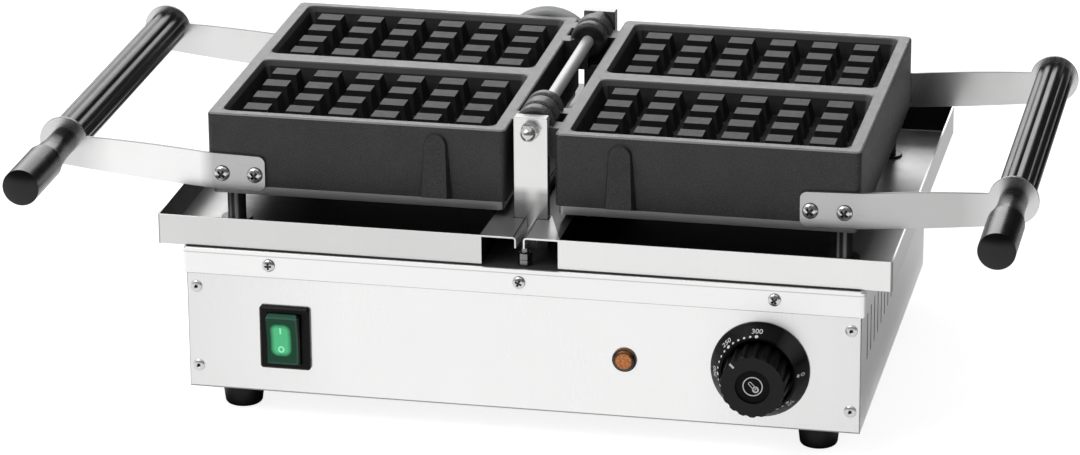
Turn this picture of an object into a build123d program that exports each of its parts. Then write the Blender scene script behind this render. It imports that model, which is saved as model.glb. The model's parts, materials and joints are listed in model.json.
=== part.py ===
from build123d import *
import math
import os

# Waffle iron: two hinged cast plates over a sheet steel base. All lengths are millimetres.
# X runs to the right, Y away from the viewer and Z up from the floor.
# y = 0 is the middle of the plates here. Every finished piece is moved along Y by frame_shift,
# which puts the origin under the middle of the whole object.

# Fits and clearances
seat_gap = 0.3
running_gap = 0.05
thread_gap = 0.05
hole_gap = 0.3
rest_gap = 0.1
closed_gap = 0.2
overrun = 2.0

# Pan head screws, shared proportions of their nominal thread diameter
head_width_share = 2.0
head_height_share = 0.6
head_round_share = 0.3
recess_length_share = 0.95
recess_width_share = 0.2
recess_depth_share = 0.3
nut_width_share = 1.6
nut_height_share = 0.8

# Rubber feet
foot_height = 17.0
foot_top_diameter = 27.0
foot_bottom_diameter = 23.0
foot_edge_radius = 2.5
foot_from_side = 28.25
foot_from_front = 22.5
foot_screw = 5.0
foot_screw_length = 16.0
foot_recess_diameter = 13.0
foot_recess_depth = 8.0

# Casing of the base
casing_past_mould_x = 6.35
casing_past_mould_y = 33.3
casing_height = 91.7
casing_sheet = 1.0
casing_flange = 14.0
slit_count = 8
slit_pitch = 15.4
slit_length = 30.5
slit_width = 3.0
slit_first_from_front = 28.0
slit_top_from_top = 23.2

# Deck with its lip, and the screws of the lip
deck_sheet = 1.0
deck_lip = 17.0
deck_side_play = 1.2
deck_screw = 4.0
deck_screw_length = 9.0
deck_screw_from_side = 52.95
deck_screw_drop = 8.8

# Dome rivets of the front and rear panels
rivet_diameter = 3.2
rivet_head_diameter = 6.6
rivet_head_height = 1.5
rivet_head_round = 1.0
rivet_length = 3.4
rivet_from_side = 5.95
rivet_low_rise = 14.4
rivet_high_drop = 24.7

# Drip pans
pan_past_mould_x = 24.4
pan_end_play = 0.2
pan_height = 19.4
pan_sheet = 1.0
pan_inner_x = 23.8
pan_shift_y = 1.2
pan_slot_half = 2.2
pan_lip = 7.0
notch_gap = 0.9

# Screws that hold brackets and posts from below the deck
deck_bolt = 5.0
deck_bolt_length = 14.0

# Hinge: two bar brackets, one shaft and cap nuts
hinge_height = 76.5
bracket_width = 20.9
bracket_thickness = 7.4
bracket_from_mould_end = 10.1
bracket_rise = 8.2
bracket_corner_radius = 0.8
bracket_screw_spacing = 12.0
shaft_diameter = 8.0
shaft_end_diameter = 6.0
shaft_thread = 8.5
shaft_chamfer = 0.6
cap_nut_hex = 5.0
cap_nut_hex_height = 6.5
cap_nut_dome_radius = 4.8
cap_nut_flange_radius = 5.9
cap_nut_flange = 1.2

# Cast mould plates
mould_offset = 15.4
mould_width = 189.0
mould_length = 232.4
mould_height = 46.5
mould_corner_radius = 4.0
mould_rim_round = 1.5
mould_wall = 7.0
mould_floor = 7.7
cavity_side_wall = 7.75
cavity_end_wall = 6.8
cavity_middle_wall = 12.8
cavity_depth = 15.3
cavity_draft = 18.0
cavity_corner_radius = 6.0
stud_columns = 6
stud_rows = 4
stud_groove_x = 6.67
stud_groove_y = 6.4
stud_from_side = 8.575
stud_from_end = 7.9
stud_draft = 10.6
stud_drop = 1.9
rib_right_from_hinge_side = 41.0
rib_left_from_hinge_side = 43.6
rib_drop = 4.5
rib_top_width = 15.0
rib_bottom_width = 20.4
rib_draft = 18.0
rib_top_reach = 2.0
rib_bottom_reach = 6.5
pad_width = 38.0
pad_depth = 15.0

# Knuckles on the castings, from the bracket inwards
knuckle_radius = 11.9
end_knuckle_radius = 8.4
knuckle_gap = 0.3
knuckle_outer = 12.5
knuckle_middle = 15.7
knuckle_inner = 10.8
knuckle_web = 19.0

# Bottom covers of the plates
cover_inset = 2.0
cover_sheet = 1.0
cover_height = 6.1
cover_screw = 4.0
cover_screw_length = 9.0
cover_screw_from_hinge_side = 14.6
cover_screw_from_outer_side = 20.4
cover_screw_from_end = 9.2
cover_boss_radius = 5.0

# Tubular heaters and their insulation
heater_diameter = 6.5
heater_gap = 0.2
heater_from_hinge_side = 29.6
heater_from_outer_side = 30.4
heater_runs = 4
heater_from_end = 31.2
heater_bend = 16.0
insulation_margin = 14.0
insulation_thickness = 18.0

# Straps that carry the handles
strap_thickness = 2.0
strap_overlap = 36.9
strap_corner_radius = 4.5
strap_disc_diameter = 31.0
strap_bend_reach = 1.6
strap_middle_reach = 36.6
strap_neck_reach = 79.6
strap_inner_drops = (26.5, 49.5)
strap_bend_drops = (25.4, 48.5)
strap_middle_drops = (22.4, 45.6)
strap_neck_drop = 20.2
strap_screw = 5.0
strap_screw_length = 13.0
strap_screw_insets = (30.4, 9.4)
strap_screw_drop = 38.6

# Handles: through bolt, fluted grip and front handle
handle_reach = 92.6
handle_drop = 24.0
bolt_diameter = 8.0
bolt_head_hex = 6.5
bolt_head_height = 5.3
bolt_reach = 46.0
grip_diameter = 24.0
grip_lobes = 10
grip_lobe_radius = 3.7
handle_length = 90.3
handle_neck_diameter = 17.2
handle_shoulder_diameter = 21.4
handle_diameter = 22.9
handle_neck_length = 13.0
handle_shoulder_reach = 39.5
handle_shoulder_length = 1.2
handle_dome = 2.2
handle_bore_spare = 3.0

# Support posts under the plates
post_diameter = 11.5
post_from_mould_side = 12.4
post_from_mould_end = 19.2
post_washer_diameter = 19.5
post_washer = 1.5

# Earth stud between the pans
stud_screw = 5.0
stud_x = 2.0
stud_from_front = 7.5
stud_height = 11.0

# Rocker switch
switch_from_side = 62.35
switch_rise = 37.7
switch_width = 32.0
switch_height = 42.2
switch_frame = 3.2
switch_frame_chamfer = 1.2
switch_corner_radius = 2.0
switch_body_width = 26.0
switch_body_height = 38.0
switch_body_depth = 24.0
rocker_width = 21.0
rocker_height = 32.6
rocker_reach = 4.0
rocker_hollow = 1.6
rocker_side_gap = 0.35
rocker_end_gap = 0.9
rocker_depth = 3.5
rocker_pivot_depth = 1.0
rocker_edge_round = 0.8
switch_cavity_depth = 12.0
rocker_tilt_degrees = 5.5
rocker_pin_radius = 1.5
rocker_pin_length = 1.2
tab_width = 6.3
tab_thickness = 0.8
tab_length = 8.0
tab_spacing_x = 12.0
tab_spacing_z = 14.0

# Pilot lamp
lamp_from_thermostat = 84.0
lamp_rise = 38.0
lamp_flange_diameter = 15.3
lamp_flange = 1.4
lamp_body_diameter = 11.8
lamp_body_length = 26.0
lamp_lens_diameter = 13.0
lamp_lens_reach = 3.4
lamp_lens_round = 1.6
lamp_lens_seat = 0.8
lamp_bore_diameter = 8.0
lamp_bore = 18.0

# Thermostat
thermostat_from_side = 61.35
thermostat_rise = 38.2
scale_diameter = 61.0
scale_thickness = 3.0
scale_rim = 1.5
scale_cone_height = 8.9
scale_lip_width = 1.9
scale_well_gap = 1.5
scale_lip_round = 0.5
scale_recess_diameter = 44.0
scale_recess = 1.9
thermostat_width = 38.0
thermostat_depth = 24.0
thermostat_bush_radius = 5.0
thermostat_bush = 1.6
thermostat_shaft_diameter = 6.0
thermostat_shaft_length = 17.0
thermostat_flat_share = 0.5
thermostat_screw = 4.0
thermostat_screw_length = 6.0
thermostat_screw_spacing = 28.0
thermostat_head_height = 1.5
knob_gap = 0.4
knob_diameter = 40.0
knob_base_diameter = 41.5
knob_front_y_reach = 30.5
knob_scallops = 18
knob_scallop_radius = 2.6
knob_scallop_share = 1.07
knob_rim_round = 1.2
knob_recess_diameter = 21.5
knob_recess = 1.5
knob_cup_diameter = 33.0
knob_cup_wall = 3.0
knob_hub_diameter = 11.0
knob_shaft_spare = 0.6

# Mains terminal block and cable gland at the rear
terminal_from_side = 80.75
terminal_width = 46.0
terminal_depth = 22.0
terminal_height = 20.0
terminal_from_rear = 45.0
terminal_ways = 3
terminal_way_pitch = 13.0
terminal_way_radius = 3.0
gland_from_side = 60.75
gland_rise = 30.0
gland_hex_radius = 11.0
gland_hex_length = 7.0
gland_dome_radius = 9.0
gland_dome_length = 12.0
gland_dome_round = 3.0
gland_bore_radius = 4.5
gland_thread_radius = 8.0
gland_thread_length = 10.0
gland_nut_length = 4.0

# Conduits from the deck to the plates, behind the hinge
conduit_diameter = 8.0
conduit_past_mould = 7.8
conduit_deck_x = 9.0
conduit_arch_radius = 28.0
conduit_low_arch_radius = 19.0
conduit_arch_drop = 28.0
conduit_low_arch_drop = 28.0
deck_gland_radius = 6.5
deck_gland_length = 7.0
deck_gland_below = 6.0
deck_gland_spigot = 5.0
elbow_neck_radius = 5.5
elbow_box_width = 13.0
elbow_box_round = 3.0
elbow_drop = 38.0
elbow_top_drop = 30.0
elbow_spigot_radius = 4.5
elbow_flange_radius = 8.0
elbow_flange = 3.0

# Levels and places that follow from the sizes above
mould_outer_x = mould_offset + mould_width
mould_face_y = mould_length / 2
casing_width = 2 * (mould_outer_x + casing_past_mould_x)
casing_depth = 2 * (mould_face_y + casing_past_mould_y)
casing_half = casing_width / 2
casing_bottom = foot_height
casing_top = casing_bottom + casing_height
deck_bottom = casing_top + seat_gap
deck_top = deck_bottom + deck_sheet
axis_height = deck_top + hinge_height
rim_height = axis_height - closed_gap / 2
mould_bottom = rim_height - mould_height
mould_center_x = mould_offset + mould_width / 2
cavity_width = mould_width - 2 * cavity_side_wall
cavity_length = (mould_length - cavity_middle_wall) / 2 - cavity_end_wall
cavity_spacing = cavity_length + cavity_middle_wall
stud_pitch_x = (cavity_width - 2 * stud_from_side + stud_groove_x) / stud_columns
stud_pitch_y = (cavity_length - 2 * stud_from_end + stud_groove_y) / stud_rows
stud_base_x = stud_pitch_x - stud_groove_x
stud_base_y = stud_pitch_y - stud_groove_y
rib_right_x = mould_offset + rib_right_from_hinge_side
rib_left_x = mould_offset + rib_left_from_hinge_side
cover_screw_near = mould_offset + cover_screw_from_hinge_side
cover_screw_far = mould_outer_x - cover_screw_from_outer_side
cover_screw_y = mould_face_y - cover_screw_from_end
heater_first_x = mould_offset + heater_from_hinge_side
heater_pitch = (mould_width - heater_from_hinge_side - heater_from_outer_side) / (heater_runs - 1)
heater_half_length = mould_face_y - heater_from_end
post_x = mould_outer_x - post_from_mould_side
post_y = mould_face_y - post_from_mould_end
cavity_floor = rim_height - cavity_depth
ceiling_height = cavity_floor - mould_floor
cover_bottom = mould_bottom - cover_height
cover_floor = cover_bottom + cover_sheet
pan_width = mould_outer_x + pan_past_mould_x - pan_inner_x
pan_depth = casing_depth - 2 * pan_end_play
pan_floor = deck_top + pan_sheet
pan_top = deck_top + pan_height
panel_face_y = casing_depth / 2
deck_half_width = casing_width / 2 + deck_side_play + deck_sheet
deck_half_depth = panel_face_y + seat_gap + deck_sheet
foot_spacing_x = casing_width - 2 * foot_from_side
foot_spacing_y = casing_depth - 2 * foot_from_front
rivet_spacing_x = casing_width - 2 * rivet_from_side
rivet_high_rise = casing_height - rivet_high_drop
deck_screw_spacing = casing_half - deck_screw_from_side
stud_y = panel_face_y - stud_from_front
bracket_inner_y = mould_face_y - bracket_from_mould_end
bracket_outer_y = bracket_inner_y + bracket_thickness
conduit_y = mould_face_y + conduit_past_mould
strap_outer_y = mould_face_y + strap_thickness
strap_inner_x = mould_outer_x - strap_overlap
strap_bend_x = mould_outer_x + strap_bend_reach
strap_middle_x = mould_outer_x + strap_middle_reach
strap_neck_top_x = mould_outer_x + strap_neck_reach
strap_screw_xs = [mould_outer_x - inset for inset in strap_screw_insets]
handle_x = mould_outer_x + handle_reach
handle_height = axis_height - handle_drop
strap_screw_height = axis_height - strap_screw_drop
switch_x = switch_from_side - casing_half
thermostat_x = casing_half - thermostat_from_side
lamp_x = thermostat_x - lamp_from_thermostat
terminal_x = terminal_from_side - casing_half
gland_x = gland_from_side - casing_half
switch_height_z = casing_bottom + switch_rise
lamp_height_z = casing_bottom + lamp_rise
thermostat_height_z = casing_bottom + thermostat_rise
gland_height_z = casing_bottom + gland_rise
front_reach = strap_outer_y + handle_length
rear_reach = panel_face_y + gland_hex_length + gland_dome_length
frame_shift = (front_reach - rear_reach) / 2

# Planes that look forwards, backwards and down
def front_plane(y):
    return Plane(origin=(0, -y, 0), x_dir=(1, 0, 0), z_dir=(0, -1, 0))


def rear_plane(y):
    return Plane(origin=(0, y, 0), x_dir=(-1, 0, 0), z_dir=(0, 1, 0))


def down_plane(z):
    return Plane(origin=(0, 0, z), x_dir=(1, 0, 0), z_dir=(0, 0, -1))


def place(plane, x, y):
    return plane.location * Location((x, y, 0))


os.makedirs("parts", exist_ok=True)


def save(part, name):
    piece = part.moved(Location((0, frame_shift, 0)))
    piece.label = name
    export_step(piece, f"parts/{name}.step")


def pan_screw(diameter, length, head_height=None):
    # A pan head screw with a cross recess: its head stands above z = 0, its shank runs below.
    height = head_height if head_height else diameter * head_height_share
    with BuildPart() as screw:
        with BuildSketch(Plane.XY):
            Circle(diameter * head_width_share / 2)
        extrude(amount=height)
        fillet(screw.edges().sort_by(Axis.Z)[-1], min(diameter * head_round_share, height / 2))
        with BuildSketch(Plane.XY.offset(height)):
            Rectangle(diameter * recess_length_share, diameter * recess_width_share)
            Rectangle(diameter * recess_width_share, diameter * recess_length_share)
        extrude(amount=-min(diameter * recess_depth_share, height / 2), mode=Mode.SUBTRACT)
        with BuildSketch(Plane.XY):
            Circle(diameter / 2)
        extrude(amount=-length)
    return screw.part


def screw_group(diameter, length, places, head_height=None):
    screw = pan_screw(diameter, length, head_height)
    with BuildPart() as group:
        for spot in places:
            add(screw.moved(spot))
    return group.part


# Base casing: bottom, two side walls with slits, and flanges for the panels
inner_half = casing_width / 2 - casing_sheet
wall_front_y = panel_face_y - casing_sheet
flange_half = casing_width / 2 - casing_sheet - casing_flange
slit_first_y = -(panel_face_y - slit_first_from_front)
slit_middle_y = slit_first_y + slit_pitch * (slit_count - 1) / 2
slit_middle_z = casing_top - slit_top_from_top - slit_length / 2
foot_places = [(sx * foot_spacing_x / 2, sy * foot_spacing_y / 2) for sx in (-1, 1) for sy in (-1, 1)]
post_places = [(sx * post_x, sy * post_y) for sx in (-1, 1) for sy in (-1, 1)]
rivet_heights = (casing_bottom + rivet_low_rise, casing_bottom + rivet_high_rise)
rivet_places = [(sx * rivet_spacing_x / 2, z) for sx in (-1, 1) for z in rivet_heights]
deck_screw_xs = (-deck_screw_spacing, 0, deck_screw_spacing)
deck_screw_height = deck_top - deck_screw_drop

with BuildPart() as casing_shell:
    with BuildSketch(Plane.XY.offset(casing_bottom)):
        Rectangle(casing_width, 2 * wall_front_y)
    extrude(amount=casing_height)
    with BuildSketch(Plane.XY.offset(casing_bottom + casing_sheet)):
        Rectangle(2 * inner_half, 2 * (wall_front_y - casing_sheet))
        Rectangle(2 * flange_half, 2 * (wall_front_y + overrun))
    extrude(amount=casing_height + overrun, mode=Mode.SUBTRACT)
    with BuildSketch(Plane.YZ):
        with Locations((slit_middle_y, slit_middle_z)):
            with GridLocations(slit_pitch, slit_length, slit_count, 1):
                SlotOverall(slit_length, slit_width, rotation=90)
    extrude(amount=casing_width, both=True, mode=Mode.SUBTRACT)
    with BuildSketch(Plane.XY.offset(casing_bottom)):
        with Locations(*foot_places):
            Circle(foot_screw / 2 + hole_gap)
    extrude(amount=2 * casing_sheet, mode=Mode.SUBTRACT)
    with BuildSketch(Plane.XZ):
        with Locations(*rivet_places):
            Circle(rivet_diameter / 2 + thread_gap)
    extrude(amount=casing_depth, both=True, mode=Mode.SUBTRACT)
save(casing_shell.part, "casing_shell")

# Front panel with the cut-outs for switch, lamp and thermostat
with BuildPart() as front_panel:
    with BuildSketch(front_plane(wall_front_y)):
        with Locations((0, casing_bottom + casing_height / 2)):
            Rectangle(casing_width, casing_height)
        with Locations((switch_x, switch_height_z)):
            cut_height = switch_body_height + 2 * hole_gap
            Rectangle(switch_body_width + 2 * hole_gap, cut_height, mode=Mode.SUBTRACT)
        with Locations((lamp_x, lamp_height_z)):
            Circle(lamp_body_diameter / 2 + hole_gap, mode=Mode.SUBTRACT)
        with Locations((thermostat_x, thermostat_height_z)):
            Circle(thermostat_bush_radius + hole_gap, mode=Mode.SUBTRACT)
            with GridLocations(thermostat_screw_spacing, 0, 2, 1):
                Circle(thermostat_screw / 2 + hole_gap, mode=Mode.SUBTRACT)
        with Locations(*[(x, deck_screw_height) for x in deck_screw_xs]):
            Circle(deck_screw / 2 + thread_gap, mode=Mode.SUBTRACT)
        with Locations(*rivet_places):
            Circle(rivet_diameter / 2 + thread_gap, mode=Mode.SUBTRACT)
    extrude(amount=casing_sheet)
save(front_panel.part, "front_panel")

# Rear panel with the hole of the cable gland
with BuildPart() as rear_panel:
    with BuildSketch(rear_plane(wall_front_y)):
        with Locations((0, casing_bottom + casing_height / 2)):
            Rectangle(casing_width, casing_height)
        with Locations((-gland_x, gland_height_z)):
            Circle(gland_thread_radius + hole_gap, mode=Mode.SUBTRACT)
        with Locations(*[(x, deck_screw_height) for x in deck_screw_xs]):
            Circle(deck_screw / 2 + thread_gap, mode=Mode.SUBTRACT)
        with Locations(*rivet_places):
            Circle(rivet_diameter / 2 + thread_gap, mode=Mode.SUBTRACT)
    extrude(amount=casing_sheet)
save(rear_panel.part, "rear_panel")

# Dome rivets through the panels and the casing flanges
with BuildPart() as rivet:
    with BuildSketch(Plane.XY):
        Circle(rivet_head_diameter / 2)
    extrude(amount=rivet_head_height)
    fillet(rivet.edges().sort_by(Axis.Z)[-1], rivet_head_round)
    with BuildSketch(Plane.XY):
        Circle(rivet_diameter / 2)
    extrude(amount=-rivet_length)
with BuildPart() as panel_rivets:
    for x, z in rivet_places:
        add(rivet.part.moved(place(front_plane(panel_face_y), x, z)))
        add(rivet.part.moved(place(rear_plane(panel_face_y), x, z)))
save(panel_rivets.part, "panel_rivets")

# Deck: the top sheet with a lip folded down on all four sides
bracket_screw_places = [
    (sx * bracket_screw_spacing / 2, sy * (bracket_inner_y + bracket_thickness / 2))
    for sx in (-1, 1) for sy in (-1, 1)
]
conduit_places = [(sx * conduit_deck_x, conduit_y) for sx in (-1, 1)]
with BuildPart() as deck:
    with BuildSketch(Plane.XY.offset(deck_top)):
        Rectangle(2 * deck_half_width, 2 * deck_half_depth)
    extrude(amount=-deck_lip)
    with BuildSketch(Plane.XY.offset(deck_bottom)):
        Rectangle(2 * (deck_half_width - deck_sheet), 2 * (deck_half_depth - deck_sheet))
    extrude(amount=-deck_lip, mode=Mode.SUBTRACT)
    with BuildSketch(Plane.XY.offset(deck_top)):
        with Locations(*post_places):
            Circle(deck_bolt / 2 + hole_gap)
        with Locations(*bracket_screw_places):
            Circle(deck_bolt / 2 + hole_gap)
        with Locations(*conduit_places):
            Circle(deck_gland_spigot + hole_gap)
        with Locations((stud_x, -stud_y)):
            Circle(stud_screw / 2 + hole_gap)
    extrude(amount=-2 * deck_sheet, mode=Mode.SUBTRACT)
    with BuildSketch(Plane.XZ):
        with Locations(*[(x, deck_screw_height) for x in deck_screw_xs]):
            Circle(deck_screw / 2 + hole_gap)
    extrude(amount=casing_depth, both=True, mode=Mode.SUBTRACT)
save(deck.part, "deck")

front_lip = front_plane(deck_half_depth)
rear_lip = rear_plane(deck_half_depth)
lips = (front_lip, rear_lip)
deck_screw_places = [place(lip, x, deck_screw_height) for lip in lips for x in deck_screw_xs]
save(screw_group(deck_screw, deck_screw_length, deck_screw_places), "deck_screws")

# Rubber feet, each with a deep recess for its screw
def foot(x, y):
    with BuildPart() as body:
        with BuildSketch(Plane.XY.offset(0)):
            with Locations((x, y)):
                Circle(foot_bottom_diameter / 2)
        with BuildSketch(Plane.XY.offset(foot_height)):
            with Locations((x, y)):
                Circle(foot_top_diameter / 2)
        loft()
        fillet(body.edges().sort_by(Axis.Z)[0], foot_edge_radius)
        with BuildSketch(Plane.XY):
            with Locations((x, y)):
                Circle(foot_recess_diameter / 2)
        extrude(amount=foot_recess_depth, mode=Mode.SUBTRACT)
        with BuildSketch(Plane.XY):
            with Locations((x, y)):
                Circle(foot_screw / 2 + hole_gap)
        extrude(amount=foot_height, mode=Mode.SUBTRACT)
    return body.part


foot_names = ("foot_front_left", "foot_rear_left", "foot_front_right", "foot_rear_right")
for name, (x, y) in zip(foot_names, foot_places):
    save(foot(x, y), name)
foot_screw_places = [place(down_plane(foot_recess_depth), x, y) for x, y in foot_places]
save(screw_group(foot_screw, foot_screw_length, foot_screw_places), "foot_screws")

# Drip pans: the inner wall folds over into a flange with a lip, notched for brackets and conduits
def pan(side):
    middle_x = side * (pan_inner_x + pan_width / 2)
    flange_x = side * (pan_slot_half + pan_inner_x + pan_sheet) / 2
    flange_width = pan_inner_x + pan_sheet - pan_slot_half
    lip_x = side * (pan_slot_half + pan_sheet / 2)
    front_y = pan_shift_y - pan_depth / 2
    bracket_mid_y = bracket_inner_y + bracket_thickness / 2
    with BuildPart() as body:
        with BuildSketch(Plane.XY.offset(deck_top)):
            with Locations((middle_x, pan_shift_y)):
                Rectangle(pan_width, pan_depth)
        extrude(amount=pan_height)
        with BuildSketch(Plane.XY.offset(pan_floor)):
            with Locations((middle_x, pan_shift_y)):
                Rectangle(pan_width - 2 * pan_sheet, pan_depth - 2 * pan_sheet)
        extrude(amount=pan_height, mode=Mode.SUBTRACT)
        with BuildSketch(Plane.XY.offset(pan_top)):
            with Locations((flange_x, pan_shift_y)):
                Rectangle(flange_width, pan_depth)
        extrude(amount=-pan_sheet)
        with BuildSketch(Plane.XY.offset(pan_top)):
            with Locations((lip_x, pan_shift_y)):
                Rectangle(pan_sheet, pan_depth)
        extrude(amount=-pan_lip)
        with BuildSketch(Plane.XY.offset(pan_top)):
            with Locations((0, -bracket_mid_y)):
                Rectangle(bracket_width + 2 * notch_gap, bracket_thickness + 2 * notch_gap)
            with Locations((0, bracket_mid_y)):
                Rectangle(bracket_width + 2 * notch_gap, bracket_thickness + 2 * notch_gap)
            with Locations((0, conduit_y)):
                gland_half = deck_gland_radius + notch_gap
                Rectangle(2 * (conduit_deck_x + gland_half), 2 * gland_half)
        extrude(amount=-pan_lip - overrun, mode=Mode.SUBTRACT)
        with BuildSketch(Plane.XY.offset(deck_top)):
            with Locations(*[(side * post_x, sy * post_y) for sy in (-1, 1)]):
                Circle(deck_bolt / 2 + hole_gap)
        extrude(amount=2 * pan_sheet, mode=Mode.SUBTRACT)
    return body.part


save(pan(-1), "pan_left")
save(pan(1), "pan_right")

# Hinge brackets: upright bars, screwed to the deck from below
def bracket(direction):
    middle_y = direction * (bracket_inner_y + bracket_thickness / 2)
    bar_height = axis_height + bracket_rise - deck_top
    with BuildPart() as body:
        with BuildSketch(Plane.XY.offset(deck_top)):
            with Locations((0, middle_y)):
                Rectangle(bracket_width, bracket_thickness)
        extrude(amount=bar_height)
        top_corners = body.edges().filter_by(Axis.Y).group_by(Axis.Z)[-1]
        fillet(top_corners, bracket_corner_radius)
        with BuildSketch(Plane.XY.offset(deck_top)):
            with Locations(*[(sx * bracket_screw_spacing / 2, middle_y) for sx in (-1, 1)]):
                Circle(deck_bolt / 2 + thread_gap)
        extrude(amount=deck_bolt_length, mode=Mode.SUBTRACT)
        with BuildSketch(Plane.XZ):
            with Locations((0, axis_height)):
                Circle(shaft_end_diameter / 2 + running_gap)
        extrude(amount=mould_length, both=True, mode=Mode.SUBTRACT)
    return body.part


save(bracket(-1), "bracket_front")
save(bracket(1), "bracket_rear")

# Hinge shaft with a thread at each end, clamped by cap nuts
shaft_body_half = bracket_inner_y
with BuildPart() as hinge_shaft:
    with BuildSketch(front_plane(-shaft_body_half)):
        with Locations((0, axis_height)):
            Circle(shaft_diameter / 2)
    extrude(amount=2 * shaft_body_half)
    with BuildSketch(front_plane(-bracket_outer_y - shaft_thread)):
        with Locations((0, axis_height)):
            Circle(shaft_end_diameter / 2)
    extrude(amount=2 * (bracket_outer_y + shaft_thread))
    tips = hinge_shaft.edges().filter_by(GeomType.CIRCLE).group_by(Axis.Y)
    chamfer(tips[0] + tips[-1], shaft_chamfer)
save(hinge_shaft.part, "hinge_shaft")

with BuildPart() as cap_nut:
    with BuildSketch(Plane.XY):
        Circle(cap_nut_flange_radius)
    extrude(amount=cap_nut_flange)
    with BuildSketch(Plane.XY.offset(cap_nut_flange)):
        RegularPolygon(cap_nut_hex, 6, major_radius=False)
    extrude(amount=cap_nut_hex_height - cap_nut_flange)
    with BuildSketch(Plane.XZ):
        with BuildLine():
            Line((0, cap_nut_hex_height), (cap_nut_dome_radius, cap_nut_hex_height))
            CenterArc((0, cap_nut_hex_height), cap_nut_dome_radius, 0, 90)
            Line((0, cap_nut_hex_height + cap_nut_dome_radius), (0, cap_nut_hex_height))
        make_face()
    revolve(axis=Axis.Z)
    with BuildSketch(Plane.XY):
        Circle(shaft_end_diameter / 2 + thread_gap)
    extrude(amount=shaft_thread + thread_gap, mode=Mode.SUBTRACT)
with BuildPart() as hinge_nuts:
    add(cap_nut.part.moved(place(front_plane(bracket_outer_y), 0, axis_height)))
    add(cap_nut.part.moved(place(rear_plane(bracket_outer_y), 0, axis_height)))
save(hinge_nuts.part, "hinge_nuts")

# Cast mould plates. The left one is the same casting turned half round,
# with a lower end knuckle at the rear.
knuckle_start = bracket_inner_y - knuckle_gap
knuckle_spans = (
    (knuckle_start - knuckle_outer, knuckle_start),
    (knuckle_start - knuckle_outer - 2 * knuckle_gap - knuckle_middle - knuckle_inner,
     knuckle_start - knuckle_outer - 2 * knuckle_gap - knuckle_middle),
)
knuckle_middle_span = (
    knuckle_start - knuckle_outer - knuckle_gap - knuckle_middle,
    knuckle_start - knuckle_outer - knuckle_gap,
)
right_knuckles = [(-span[1], -span[0]) for span in knuckle_spans] + [knuckle_middle_span]


def rib(x, direction):
    # A tapered rib with a round top on the front or rear face of a casting.
    face = front_plane(mould_face_y) if direction < 0 else rear_plane(mould_face_y)
    local_x = x if direction < 0 else -x
    top = rim_height - rib_drop
    round_center = top - rib_top_width / 2
    with BuildPart() as body:
        with BuildSketch(face):
            with Locations((local_x, round_center)):
                Circle(rib_top_width / 2)
            with BuildLine():
                Polyline(
                    (local_x - rib_bottom_width / 2, mould_bottom),
                    (local_x + rib_bottom_width / 2, mould_bottom),
                    (local_x + rib_top_width / 2, round_center),
                    (local_x - rib_top_width / 2, round_center),
                    close=True,
                )
            make_face()
        extrude(amount=rib_bottom_reach, taper=rib_draft)
        with BuildSketch(Plane.YZ):
            with BuildLine():
                Polyline(
                    (direction * (mould_face_y - overrun), mould_bottom),
                    (direction * (mould_face_y + rib_bottom_reach), mould_bottom),
                    (direction * (mould_face_y + rib_top_reach), top),
                    (direction * (mould_face_y - overrun), top),
                    close=True,
                )
            make_face()
        extrude(amount=mould_width, both=True, mode=Mode.INTERSECT)
    return body.part


def boss_places():
    return [(x, sy * cover_screw_y) for x in (cover_screw_near, cover_screw_far) for sy in (-1, 1)]


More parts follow.
